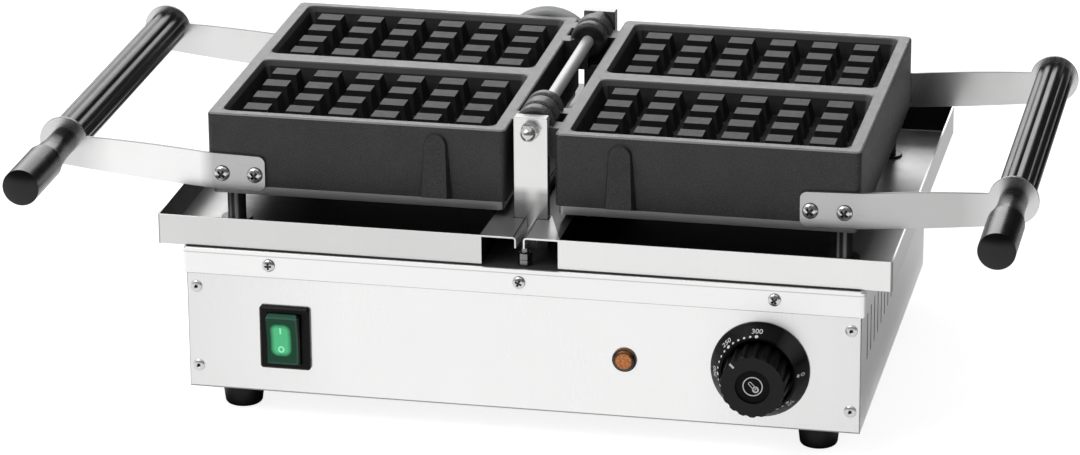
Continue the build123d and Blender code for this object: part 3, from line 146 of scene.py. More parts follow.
class Graph:
    """The node tree of one material, or of the world."""

    def __init__(self, name: str, world: bool = False) -> None:
        """Starts an empty tree with its output."""
        self.owner = (bpy.data.worlds if world else bpy.data.materials).new(name)
        self.owner.use_nodes = True
        self.tree = self.owner.node_tree
        self.tree.nodes.clear()
        self.output = self.node("ShaderNodeOutputWorld" if world else "ShaderNodeOutputMaterial")
        self.place = None if world else self.node("ShaderNodeTexCoord")

    def node(
        self, kind: str, settings: Optional[dict[str, Any]] = None, inputs: Optional[dict[Union[str, int], Any]] = None,
    ) -> bpy.types.Node:
        """Adds a node.

        Args:
            kind: The node's type.
            settings: Its properties, set first.
            inputs: Values or links of its sockets.

        Returns:
            The node.
        """
        made = self.tree.nodes.new(kind)
        for key, value in (settings or {}).items():
            setattr(made, key, value)
        for key, value in (inputs or {}).items():
            socket = made.inputs[key]
            if isinstance(value, Value):
                value = value.socket
            if isinstance(value, bpy.types.NodeSocket):
                self.tree.links.new(value, socket)
            elif isinstance(value, tuple) and len(value) == 3 and socket.type == "RGBA":
                socket.default_value = (*value, 1.0)
            else:
                socket.default_value = value
        return made

    def value(self, kind: str, settings: Optional[dict[str, Any]], inputs: dict[Union[str, int], Any]) -> Value:
        """Adds a node and gives its first output as a number."""
        return Value(self, self.node(kind, settings, inputs).outputs[0])

    def axes(self, centre: Place = (0.0, 0.0, 0.0), output: str = "Object") -> list[Value]:
        """Gives the three coordinates of the point from a centre.

        Args:
            centre: The point that counts as zero.
            output: Object for the place, Normal for the direction of the surface.

        Returns:
            The X, Y and Z values.
        """
        inputs = {0: self.place.outputs[output], 1: tuple(centre)}
        moved = self.node("ShaderNodeVectorMath", {"operation": "SUBTRACT"}, inputs)
        parts = self.node("ShaderNodeSeparateXYZ", None, {0: moved.outputs[0]})
        return [Value(self, socket) for socket in parts.outputs]

    def noise(
        self, size: float, detail: float = 2.0, rough: float = 0.5, stretch: Sequence[float] = (1.0, 1.0, 1.0),
    ) -> Value:
        """Adds a noise.

        Args:
            size: The size of its spots in metres.
            detail: The number of finer layers.
            rough: How strong these are.
            stretch: How much longer the spots are along each axis.

        Returns:
            The noise, about 0.5 on average.
        """
        scale = tuple(1.0 / (size * part) for part in stretch)
        mapped = self.node("ShaderNodeMapping", None, {"Vector": self.place.outputs["Object"], "Scale": scale})
        inputs = {"Vector": mapped.outputs[0], "Scale": 1.0, "Detail": detail, "Roughness": rough}
        return self.value("ShaderNodeTexNoise", None, inputs)

    def brushed(self, grain: Grain) -> Value:
        """Adds the fine lines of brushed sheet."""
        return self.noise(0.35 * MM, 3.0, 0.6, grain.value)

    def cells(self, size: float) -> Value:
        """Adds a pattern of cells and gives the distance from their centres."""
        return self.value("ShaderNodeTexVoronoi", None, {"Vector": self.place.outputs["Object"], "Scale": 1.0 / size})

    def seen(self) -> Value:
        """Is 1 for rays from the camera, from gloss and through glass."""
        path = self.node("ShaderNodeLightPath")
        camera, glossy, clear = (
            Value(self, path.outputs[f"Is {name} Ray"]) for name in ("Camera", "Glossy", "Transmission")
        )
        return camera.math("MAXIMUM", glossy).math("MAXIMUM", clear)

    def blend(self, factor: Number, first: Any, second: Any) -> bpy.types.NodeSocket:
        """Mixes two colours or colour sockets: 0 gives the first, 1 the second."""
        return self.node("ShaderNodeMix", {"data_type": "RGBA"}, {0: factor, 6: first, 7: second}).outputs[2]

    def bump(self, height: Value, depth: float, strength: float = 1.0, under: Any = None) -> bpy.types.NodeSocket:
        """Turns a height into a normal.

        Args:
            height: The height, from 0 to 1.
            depth: What a height of 1 stands for, in metres.
            strength: The share of it that shows.
            under: A normal that lies below it.

        Returns:
            The normal.
        """
        inputs = {"Height": height, "Distance": depth, "Strength": strength}
        if under is not None:
            inputs["Normal"] = under
        return self.node("ShaderNodeBump", None, inputs).outputs[0]

    def show(self, shader: bpy.types.Node) -> Any:
        """Ends the tree with a shader and gives the material or the world."""
        self.tree.links.new(shader.outputs[0], self.output.inputs[0])
        return self.owner

    def surface(self, **sockets: Any) -> bpy.types.Material:
        """Ends the tree with the shader, whose sockets are named with _ for a space."""
        inputs = {name.replace("_", " "): value for name, value in sockets.items()}
        return self.show(self.node("ShaderNodeBsdfPrincipled", None, inputs))


def scaled(colour: Colour, share: float) -> Colour:
    """Makes a colour darker or lighter."""
    return tuple(min(part * share, 1.0) for part in colour)


@dataclass(frozen=True)
class BrushedSheet:
    """Stainless sheet with fine brush lines, which may be painted darker towards its ends and in a thin band at one
    height, as painted shade.
    """

    name: str
    grain: Grain
    colour: Colour = grey(0.79, 0.785)
    roughness: float = 0.33
    slot: str = "sheet_steel"
    depth: float = 0.003 * MM
    metallic: float = 0.86
    fade: float = 0.0
    fade_x: float = 165.0 * MM
    line_z: Optional[float] = None
    line_half: float = 0.35 * MM
    line: float = 0.35

    def material(self) -> bpy.types.Material:
        """Builds the finish."""
        graph = Graph(self.name)
        lines = graph.brushed(self.grain)
        broad = graph.noise(2.6 * MM, stretch=self.grain.value)
        clouds = graph.noise(60.0 * MM)
        roughness = self.roughness + (lines - 0.5) * 0.12 + (broad - 0.5) * 0.06 + (clouds - 0.5) * 0.10
        shade = (lines - 0.5) * 0.30 + (broad - 0.5) * 0.30 + 0.5
        colour = graph.blend(shade, scaled(self.colour, 0.95), scaled(self.colour, 1.04))
        # Painted shade: darker towards the ends along X.
        if self.fade:
            colour = graph.blend(abs(graph.axes()[0]).above(self.fade_x, 110.0 * MM) * self.fade, colour, BLACK)
        # Painted shade: a thin dark band at one height.
        if self.line_z is not None:
            near = abs(graph.axes()[2] - self.line_z).below(self.line_half, 0.3 * MM)
            colour = graph.blend(near * self.line, colour, BLACK)
        return graph.surface(
            Base_Color=colour, Metallic=self.metallic, Roughness=roughness, Normal=graph.bump(lines, self.depth),
        )


@dataclass(frozen=True)
class CastIron:
    """Seasoned casting: fine sandy sides and smoother ground faces, with painted shade in the cavities and over the
    knuckles, and painted highlights on the edges and the knuckle crests.
    """

    name: str = "cast_iron"
    slot: str = "cast_iron"
    side: Colour = grey(0.008, 0.0085)
    side_light: Colour = grey(0.052, 0.053)
    # Painted shade: the near-black grey of the cavity floors and the knuckles.
    painted_shade: Colour = grey(0.0035)
    stud: Colour = (0.044, 0.0445, 0.0455)
    rim: Colour = (0.14, 0.141, 0.143)
    # Painted highlights: the lighter greys of the stud and rim edges and the knuckle crests.
    stud_edge: Colour = grey(0.13)
    rim_edge: Colour = grey(0.26)
    crest: Colour = grey(0.15)
    axis_z: float = 186.5 * MM
    groove: float = 10.9 * MM
    rim_z: float = 185.6 * MM
    stud_z: float = 182.5 * MM
    half_x: float = 87.0 * MM
    half_y: float = 51.8 * MM
    middle_x: float = 109.9 * MM
    middle_y: float = 57.9 * MM
    shift_y: float = 20.0 * MM

    def material(self) -> bpy.types.Material:
        """Builds the finish."""
        graph = Graph(self.name)
        x, y, z = graph.axes((0.0, self.shift_y, 0.0))
        across, along, tilt = graph.axes(output="Normal")
        corner = abs(across * along).above(0.30, 0.20)
        up = tilt.above(0.93, 0.08)
        # Painted highlight mask: edges that tilt upwards, short of the flat tops.
        lit_edges = tilt.above(0.30, 0.2) * (1.0 - up)
        sand = graph.noise(0.9 * MM, 4.0, 0.65)
        waves = graph.noise(5.0 * MM, 3.0, 0.55)
        clouds = graph.noise(26.0 * MM)
        inside = abs(abs(x) - self.middle_x).below(self.half_x, 0.6 * MM)
        inside = inside * abs(abs(y) - self.middle_y).below(self.half_y, 0.6 * MM)
        raw = graph.blend((clouds - 0.5) * 0.7 + (sand - 0.5) * 3.4 + 0.34, self.side, self.side_light)
        # Painted shade: inside the cavities the colour falls towards near black.
        deep = graph.blend((sand - 0.5) * 2.0 + 0.3, self.painted_shade, self.side)
        # Painted highlight on the upright edges of the studs.
        dark = graph.blend(corner * inside * 0.45, graph.blend(inside, raw, deep), self.stud_edge)
        on_stud = z.above(self.stud_z, 0.4 * MM)
        on_rim = z.above(self.rim_z, 0.4 * MM)
        studs = graph.blend(up * on_stud, graph.blend(lit_edges * on_stud * inside, dark, self.stud_edge), self.stud)
        rims = graph.blend(up * on_rim, graph.blend(lit_edges * on_rim, studs, self.rim_edge), self.rim)
        hub = x.reach(z - self.axis_z)
        near = abs(x).below(14.0 * MM, 1.0 * MM) * z.above(self.axis_z + 1.0 * MM, 2.0 * MM)
        # Painted shade over the knuckles, with painted highlights on their crests.
        knuckles = graph.blend(near, rims, self.painted_shade)
        crests = near * hub.above(self.groove, 1.4 * MM) * ((sand - 0.5) * 4.0 + 0.42).math("MAXIMUM", 0.0)
        colour = graph.blend(crests.math("MINIMUM", 1.0), knuckles, self.crest)
        satin = up * on_rim * 0.10 - up * inside * 0.12 - up * inside * (1.0 - on_stud) * 0.2
        roughness = 0.50 + (waves - 0.5) * 0.16 + (sand - 0.5) * 0.20 - satin
        bump = graph.bump(sand, 0.09 * MM, 0.6, graph.bump(waves, 0.12 * MM, 0.7))
        return graph.surface(Base_Color=colour, Metallic=0.0, Roughness=roughness, Normal=bump)


@dataclass(frozen=True)
class UndersideShadedCover:
    """Satin cover sheet whose underside is painted near black as shade."""

    name: str = "cover_sheet"
    slot: str = "sheet_steel"
    colour: Colour = grey(0.47)
    underside_shade: Colour = grey(0.012)

    def material(self) -> bpy.types.Material:
        """Builds the finish."""
        graph = Graph(self.name)
        lines = graph.brushed(Grain.X)
        clouds = graph.noise(24.0 * MM, 3.0, 0.55)
        down = (0.0 - graph.axes(output="Normal")[2]).above(0.5, 0.3)
        unshaded = graph.blend(clouds, scaled(self.colour, 0.8), self.colour)
        # Painted shade: faces that point down take the near-black colour.
        return graph.surface(
            Base_Color=graph.blend(down, unshaded, self.underside_shade), Metallic=1.0 - down * 0.8,
            Roughness=0.33 + (lines - 0.5) * 0.15 + down * 0.25, Normal=graph.bump(lines, 0.004 * MM),
        )


@dataclass(frozen=True)
class BrightMetal:
    """Smooth bright metal: polished, plated or turned."""

    name: str
    slot: str
    colour: Colour
    roughness: float
    clouds: float = 22.0 * MM
    metallic: float = 1.0

    def material(self) -> bpy.types.Material:
        """Builds the finish."""
        graph = Graph(self.name)
        wide = graph.noise(self.clouds, 3.0, 0.55)
        fine = graph.noise(0.5 * MM)
        return graph.surface(
            Base_Color=graph.blend(wide, scaled(self.colour, 0.90), self.colour), Metallic=self.metallic,
            Roughness=self.roughness + (wide - 0.5) * 0.10 + (fine - 0.5) * 0.05,
            Normal=graph.bump(wide, 0.04 * MM, 0.5),
        )


@dataclass(frozen=True)
class Moulding:
    """Moulded plastic, phenolic, rubber, ceramic or mat."""

    name: str
    slot: str
    colour: Colour
    roughness: float
    grain: float = 0.5 * MM
    depth: float = 0.01 * MM
    tint: float = 0.12
    gloss: float = 0.5

    def material(self) -> bpy.types.Material:
        """Builds the finish."""
        graph = Graph(self.name)
        fine = graph.noise(self.grain, 3.0, 0.55)
        wide = graph.noise(14.0 * MM)
        return graph.surface(
            Base_Color=graph.blend(wide, scaled(self.colour, 1.0 - self.tint), scaled(self.colour, 1.0 + self.tint)),
            Roughness=self.roughness + (fine - 0.5) * 0.08 + (wide - 0.5) * 0.10,
            Normal=graph.bump(fine, self.depth, 0.7), Specular_IOR_Level=self.gloss,
        )


@dataclass(frozen=True)
class StrapSteel:
    """Ground strap steel, with painted shade and reflection: darker where it lies on the casting, on its round end, on
    the right straps and, less, on the rear left one.
    """

    name: str = "strap_steel"
    slot: str = "strap_steel"
    span: Colour = grey(0.80, 0.797)
    plate: Colour = grey(0.42, 0.418)
    disc: Colour = grey(0.60, 0.598)
    shaded: Colour = grey(0.45, 0.448)
    plate_x: float = 205.0 * MM
    disc_x: float = 276.0 * MM

    def material(self) -> bpy.types.Material:
        """Builds the finish."""
        graph = Graph(self.name)
        x, y, _ = graph.axes()
        lines = graph.noise(0.5 * MM, 3.0, 0.6, (40.0, 1.0, 1.0))
        clouds = graph.noise(18.0 * MM, 3.0)
        right, rear = x.above(0.0, 1.0 * MM), y.above(0.0, 1.0 * MM)
        # Painted shade: the right straps and, less, the rear left strap.
        shaded_share = right * (1.0 - rear * 0.35) + (1.0 - right) * rear * 0.38
        middle = graph.blend(shaded_share, self.span, self.shaded)
        # Painted shade and reflection: darker on the round end, and over the casting below.
        ends = graph.blend(abs(x).above(self.disc_x, 22.0 * MM), middle, self.disc)
        return graph.surface(
            Base_Color=graph.blend(abs(x).below(self.plate_x, 9.0 * MM), ends, self.plate), Metallic=0.92,
            Roughness=0.24 + (lines - 0.5) * 0.12 + (clouds - 0.5) * 0.10,
            Normal=graph.bump(lines, 0.003 * MM, 1.0, graph.bump(clouds, 0.10 * MM, 0.5)),
        )


@dataclass(frozen=True)
class ShadedPan:
    """The inside of a drip pan: bright in its outer corners, painted near black as shade elsewhere."""

    outer_x: float
    floor_z: float
    name: str = "pan_inside"
    slot: str = "sheet_steel"
    bright: Colour = grey(0.41, 0.408)
    painted_shade: Colour = grey(0.0045)

    def material(self) -> bpy.types.Material:
        """Builds the finish."""
        graph = Graph(self.name)
        x, _, z = graph.axes()
        up = graph.axes(output="Normal")[2].above(0.6, 0.2)
        clouds = graph.noise(16.0 * MM, 3.0, 0.55)
        lines = graph.brushed(Grain.X)
        # Painted shade: only the floor near each outer wall stays bright; the rest is painted near black.
        corner = (self.outer_x - abs(x) + (clouds - 0.5) * 8.0 * MM).below(36.0 * MM, 26.0 * MM)
        unshaded = corner * up * z.below(self.floor_z, 1.0 * MM)
        return graph.surface(
            Base_Color=graph.blend(unshaded, self.painted_shade, self.bright), Metallic=unshaded * 0.9,
            Roughness=0.36 + (lines - 0.5) * 0.12 + (clouds - 0.5) * 0.14, Normal=graph.bump(lines, 0.003 * MM),
            Specular_IOR_Level=0.25,
        )


@dataclass(frozen=True)
class BracketSteel:
    """Hinge bracket sheet, with painted shade near its foot and a painted highlight strip up the middle there."""

    name: str = "bracket_steel"
    slot: str = "bright_steel"
    upper: Colour = grey(0.71, 0.705)
    foot: Colour = grey(0.36, 0.358)
    strip: Colour = grey(0.58, 0.576)
    foot_z: float = 148.0 * MM

    def material(self) -> bpy.types.Material:
        """Builds the finish."""
        graph = Graph(self.name)
        x, _, z = graph.axes()
        lines = graph.brushed(Grain.Z)
        # Painted shade near the foot, broken by a lighter painted highlight strip down its middle.
        middle = graph.blend(abs(x - 1.0 * MM).below(3.2 * MM, 4.0 * MM), self.foot, self.strip)
        level = graph.axes(output="Normal")[2].above(0.9, 0.05)
        return graph.surface(
            Base_Color=graph.blend(z.below(self.foot_z, 5.0 * MM), self.upper, middle), Metallic=0.88,
            Roughness=0.25 + (lines - 0.5) * 0.14 + level * 0.3, Normal=graph.bump(lines, 0.003 * MM),
        )


@dataclass(frozen=True)
class TurnedPost:
    """Turned bar with upright bright and dark bands painted by the way its side faces, as a painted reflection."""

    name: str = "post_steel"
    slot: str = "post_steel"
    bright: Colour = grey(0.80, 0.795)
    dark: Colour = grey(0.09)

    def material(self) -> bpy.types.Material:
        """Builds the finish."""
        graph = Graph(self.name)
        across = graph.axes(output="Normal")[0]
        lines = graph.noise(0.4 * MM, stretch=(1.0, 1.0, 20.0))
        # Painted reflection: bands set by the sideways direction of the surface.
        bands = abs(across - 0.22).below(0.17, 0.16) + abs(across + 0.52).below(0.13, 0.16) * 0.75
        return graph.surface(
            Base_Color=graph.blend(bands, self.dark, self.bright), Metallic=0.45,
            Roughness=0.24 + (lines - 0.5) * 0.12, Normal=graph.bump(lines, 0.003 * MM),
        )


@dataclass(frozen=True)
class ScaleCone:
    """The dial's cone, with a painted highlight at its upper right."""

    centre: Place
    name: str = "scale_phenolic"
    slot: str = "black_phenolic"
    dark: Colour = grey(0.0035, 0.0036)
    lit: Colour = grey(0.050, 0.051)
    tilt: float = 41.0

    def material(self) -> bpy.types.Material:
        """Builds the finish."""
        graph = Graph(self.name)
        x, _, z = graph.axes(self.centre)
        along = (x * cos(radians(self.tilt)) + z * sin(radians(self.tilt))) / (x.reach(z) + 0.1 * MM)
        fine = graph.noise(0.5 * MM, 3.0, 0.55)
        # Painted highlight: the upper right of the cone takes the lighter colour.
        return graph.surface(
            Base_Color=graph.blend(along.above(0.965, 0.075), self.dark, self.lit),
            Roughness=0.34 + (fine - 0.5) * 0.08, Normal=graph.bump(fine, 0.01 * MM, 0.7), Specular_IOR_Level=0.10,
        )


@dataclass(frozen=True)
class RockerGreen:
    """Green rocker with a pale glowing window, a bar for on and a ring for off, a lighter border painted as a
    reflection and a dark right side painted as shade.
    """

    centre: Place
    face: tuple[float, float, float, float]
    name: str = "rocker_green"
    slot: str = "rocker_green"
    body: Colour = (0.010, 0.085, 0.042)
    # Painted reflection: the edge colour; painted shade: the side colour.
    edge: Colour = (0.040, 0.13, 0.085)
    side: Colour = (0.003, 0.004, 0.0035)
    deep: Colour = (0.02, 0.20, 0.09)
    window: Colour = (0.115, 0.545, 0.265)
    mark: Colour = (0.36, 0.93, 0.56)
    glow: Colour = (0.030, 0.235, 0.095)
    mark_glow: Colour = (0.16, 0.52, 0.28)
    half_width: float = 6.5 * MM
    half_height: float = 10.8 * MM
    corner: float = 4.6 * MM
    face_corner: float = 2.4 * MM

    @staticmethod
    def beyond(x: Value, z: Value, half: Sequence[float], corner: float) -> Value:
        """Gives how far a point lies from the core of a rectangle with round corners.

        Args:
            x: Its place across, from the middle.
            z: Its place up, from the middle.
            half: Half the width and half the height.
            corner: The radius of the corners.

        Returns:
            The distance, which is the corner's radius on the outline.
        """
        out_x, out_z = ((abs(part) - (size - corner)).math("MAXIMUM", 0.0) for part, size in zip((x, z), half))
        return out_x.reach(out_z)

    def material(self) -> bpy.types.Material:
        """Builds the finish."""
        graph = Graph(self.name)
        x, _, z = graph.axes(self.centre)
        rim = self.beyond(x, z, (self.half_width, self.half_height), self.corner)
        middle_x, middle_z, *half = self.face
        face_x, _, face_z = graph.axes((middle_x, 0.0, middle_z))
        shell = self.beyond(face_x, face_z, half, self.face_corner)
        inside = rim.below(self.corner, 1.2 * MM)
        lit = rim.below(self.corner - 1.0 * MM, 3.0 * MM)
        bar = abs(x).below(0.46 * MM, 0.14 * MM) * abs(z - 6.2 * MM).below(2.1 * MM, 0.2 * MM)
        ring = abs(x.reach(z + 6.4 * MM) - 1.65 * MM).below(0.42 * MM, 0.14 * MM)
        marks = (bar + ring).math("MINIMUM", 1.0)
        # Painted reflection along the face's outline, then painted shade beyond it.
        border = graph.blend(shell.above(self.face_corner - 1.2 * MM, 0.8 * MM), self.body, self.edge)
        border = graph.blend(shell.above(self.face_corner, 0.3 * MM), border, self.side)
        colour = graph.blend(inside, border, graph.blend(lit, self.deep, self.window))
        ripple = graph.noise(3.0 * MM)
        lamp = graph.blend(marks, graph.blend(inside * lit, BLACK, self.glow), self.mark_glow)
        return graph.surface(
            Base_Color=graph.blend(marks, colour, self.mark), Roughness=0.22 + (ripple - 0.5) * 0.08,
            Normal=graph.bump(inside, 0.12 * MM, 0.8), Coat_Weight=0.05, Coat_Roughness=0.08,
            Specular_IOR_Level=0.14, Emission_Color=lamp, Emission_Strength=1.0,
        )


@dataclass(frozen=True)
class LensAmber:
    """Amber lens with prisms inside and a dark brown wall, painted lighter towards its top as a highlight."""

    centre: Place
    name: str = "lens_amber"
    slot: str = "lens_amber"
    radius: float = 5.0 * MM

    def material(self) -> bpy.types.Material:
        """Builds the finish."""
        graph = Graph(self.name)
        x, _, z = graph.axes(self.centre)
        wall = x.reach(z).above(self.radius, 0.9 * MM)
        prisms = graph.cells(1.15 * MM)
        waves = graph.noise(3.2 * MM, rough=0.6)
        amber = graph.blend(prisms * 1.5, (0.74, 0.36, 0.10), (0.36, 0.115, 0.02))
        warm = graph.blend((waves - 0.35) * 2.2, amber, (0.62, 0.21, 0.09))
        # Painted highlight: the wall grows lighter towards its top.
        rim = graph.blend(z.above(4.6 * MM, 2.6 * MM), (0.030, 0.012, 0.008), (0.20, 0.085, 0.035))
        glow = graph.blend(wall, graph.blend(prisms * 1.5, (0.30, 0.105, 0.015), (0.10, 0.025, 0.002)), BLACK)
        return graph.surface(
            Base_Color=graph.blend(wall, warm, rim), Roughness=0.16 + waves * 0.10,
            Normal=graph.bump(prisms, 0.25 * MM, 0.6), Coat_Weight=0.10, Coat_Roughness=0.08,
            Specular_IOR_Level=0.30, Emission_Color=glow, Emission_Strength=1.0,
        )


class Finishes:
    """All finishes, each built once."""

    def __init__(self) -> None:
        """Lists the finishes of the object."""
        self.sheet_y = BrushedSheet("sheet_brushed_deep", Grain.Y, grey(0.88, 0.877))
        self.sheet_z = BrushedSheet("sheet_brushed_upright", Grain.Z)
        # Heights of painted shade bands: under the deck's front fold and along the panel's foot.
        fold_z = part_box("deck")[1].z - 3.0 * MM
        foot_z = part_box("front_panel")[0].z + 0.4 * MM
        self.deck = BrushedSheet("deck_brushed", Grain.X, grey(0.86, 0.857), line_z=fold_z)
        # The panel is painted darker towards its ends and along its foot as shade.
        self.panel = BrushedSheet(
            "panel_brushed", Grain.Z, grey(0.83, 0.827), 0.25, "panel_steel",
            fade=0.15, line_z=foot_z, line_half=0.55 * MM, line=0.72,
        )
        # Painted shade: the left pan is painted darker than the right one.
        self.pans = {
            "left": BrushedSheet("pan_left_brushed", Grain.Z, grey(0.65, 0.645)),
            "right": BrushedSheet("pan_right_brushed", Grain.Z),
        }
        # Painted shade: the flange tops beside the gap are painted near black.
        self.flanges = {
            "left": BrushedSheet("flange_left", Grain.Y, grey(0.075, 0.0745)),
            "right": BrushedSheet("flange_right", Grain.Y, grey(0.14, 0.139)),
        }
        self.pan_inside = ShadedPan(outer_x=228.8 * MM, floor_z=111.5 * MM)
        self.cover = UndersideShadedCover()
        self.iron = CastIron()
        self.strap = StrapSteel()
        self.bracket = BracketSteel()
        self.post = TurnedPost()
        # Dark cut edges, also painted as shade along the deck lip's lower edge, the panels' edges and the sideways half
        # of the pans' upright folds.
        self.cut_edge_and_shade = BrightMetal("cut_edge_and_shade_finish", "strap_steel", grey(0.30), 0.42)
        self.rivet = BrightMetal("rivet_alloy", "bright_steel", grey(0.80, 0.795), 0.30, metallic=0.55)
        self.zinc = BrightMetal("bright_steel", "bright_steel", grey(0.68, 0.675), 0.20, 6.0 * MM, 0.72)
        # Painted shade: zinc darkened for the earth stud and nuts and the screw heads' brims.
        self.shaded_zinc = BrightMetal("shaded_zinc", "bright_steel", grey(0.20), 0.28, 3.0 * MM)
        self.washer = BrightMetal("washer_steel", "post_steel", grey(0.10), 0.34, 3.0 * MM)
        self.shaft = BrightMetal("shaft_steel", "post_steel", grey(0.70, 0.695), 0.48, metallic=0.50)
        self.heater = BrightMetal("heater_steel", "heater_steel", (0.16, 0.15, 0.145), 0.45)
        self.alloy = BrightMetal("elbow_alloy", "elbow_alloy", grey(0.52), 0.36, 3.0 * MM)
        # Painted shade for the deck top under and between the pans.
        self.deck_shade = Moulding("deck_top_painted_shade", "sheet_steel", grey(0.045, 0.044), 0.6, gloss=0.2)
        self.shade = Moulding("casing_inside", "sheet_steel", grey(0.012), 0.6, gloss=0.2)
        self.phenolic = Moulding("black_phenolic", "black_phenolic", grey(0.005, 0.0053), 0.28)
        self.handle_end = Moulding("handle_end", "black_phenolic", grey(0.005, 0.0052), 0.26, gloss=0.32)
        self.grip = Moulding("grip_phenolic", "black_phenolic", grey(0.006, 0.0063), 0.34)
        self.dial = Moulding("dial_phenolic", "black_phenolic", grey(0.0085, 0.0088), 0.34, gloss=0.18)
        # Painted shade for the knob's side and the floor of its recess.
        self.dial_dark = Moulding("dial_recess", "black_phenolic", grey(0.0038), 0.5, gloss=0.09)
        self.white = Moulding("white_print", "black_phenolic", grey(0.86), 0.45, tint=0.02)
        self.frame = Moulding("switch_frame", "black_plastic", grey(0.0035, 0.0037), 0.34, gloss=0.12)
        self.plastic = Moulding(
            "black_plastic", "black_plastic", grey(0.008, 0.0083), 0.36, 0.35 * MM, 0.03 * MM, gloss=0.22,
        )
        self.rubber = Moulding("rubber", "rubber", grey(0.007), 0.50, depth=0.03 * MM, gloss=0.2)
        self.mat = Moulding("insulation", "insulation", (0.80, 0.78, 0.72), 0.95, 0.8 * MM, 0.4 * MM)
        self.conduit = Moulding("conduit_grey", "conduit_grey", (0.46, 0.465, 0.47), 0.34, 1.0 * MM)
        self.ceramic = Moulding("terminal_ceramic", "terminal_ceramic", (0.80, 0.79, 0.75), 0.18, 2.0 * MM)
        # Painted shade for the screw recesses and the rivet bores.
        self.recess = Moulding("screw_recess", "bright_steel", grey(0.03), 0.4)
        self.built: dict[Any, bpy.types.Material] = {}

    def of(self, finish: Any) -> bpy.types.Material:
        """Gives the material of a finish, built at its first use."""
        if finish not in self.built:
            self.built[finish] = finish.material()
        return self.built[finish]


def body_name(node: str) -> str:
    """Gives the body that carries a node."""
    bodies = frame["record"]["behaviour"]["bodies"]
    return next((body for body, nodes in bodies.items() if node in nodes), "base")


@dataclass(frozen=True)
class Round:
    """How sharp edges are rounded."""

    width: float
    segments: int
    angle: float
    pick: Optional[EdgeTest] = None
    clamp: bool = True


@dataclass(frozen=True)
class Paint:
    """A second finish for some faces of a piece."""

    finish: Any
    pick: FaceTest


def new_object(name: str, work: BMesh) -> bpy.types.Object:
    """Turns a mesh into an object of the scene and frees it."""
    mesh = bpy.data.meshes.new(name)
    work.to_mesh(mesh)
    work.free()
    piece = bpy.data.objects.new(name, mesh)
    bpy.context.scene.collection.objects.link(piece)
    return piece


def everything(work: BMesh) -> list[Any]:
    """Gives all vertices, edges and faces of a mesh."""
    return work.verts[:] + work.edges[:] + work.faces[:]


def open_edges(work: BMesh) -> list[BMEdge]:
    """Gives the edges of a mesh that have one face."""
    return [edge for edge in work.edges if edge.is_boundary]


def join(target: BMesh, part: BMesh, place: Optional[Matrix] = None) -> None:
    """Adds a mesh to another one, moved to its place, and frees it."""
    if place is not None:
        bmesh.ops.transform(part, matrix=place, verts=part.verts)
    mesh = bpy.data.meshes.new("part")
    part.to_mesh(mesh)
    part.free()
    target.from_mesh(mesh)
    bpy.data.meshes.remove(mesh)


def stand_up(work: BMesh, place: Place) -> None:
    """Turns what faces up to the front and moves it to its place."""
    turned = Matrix.Translation(place) @ Matrix.Rotation(pi / 2, 4, "X")
    bmesh.ops.transform(work, matrix=turned, verts=work.verts)


def lathe(work: BMesh, profile: Sequence[tuple[float, float]], steps: int, closed: bool = False) -> None:
    """Spins a profile of radii and heights round the Z axis.

    Args:
        work: The mesh that takes it.
        profile: The radius and the height of each point.
        steps: The number of steps of the turn.
        closed: Whether the profile ends at its start.
    """
    verts = [work.verts.new((radius, 0.0, height)) for radius, height in profile]
    ends = verts[1:] + verts[:1] if closed else verts[1:]
    edges = [work.edges.new(pair) for pair in zip(verts, ends)]
    bmesh.ops.spin(
        work, geom=verts + edges, cent=(0, 0, 0), axis=(0, 0, 1), angle=2 * pi, steps=steps, use_merge=True,
    )


def edge_middle(edge: BMEdge) -> Vector:
    """Gives the middle of an edge."""
    return (edge.verts[0].co + edge.verts[1].co) / 2.0


def outer_fold(box: Box, edge: BMEdge) -> bool:
    """Tells whether an edge lies on two outer faces of a box."""
    middle = edge_middle(edge)
    near = sum(abs(middle[axis] - corner[axis]) < 0.2 * MM for axis in range(3) for corner in box)
    return near >= 2 and edge.calc_length() > 5.0 * MM


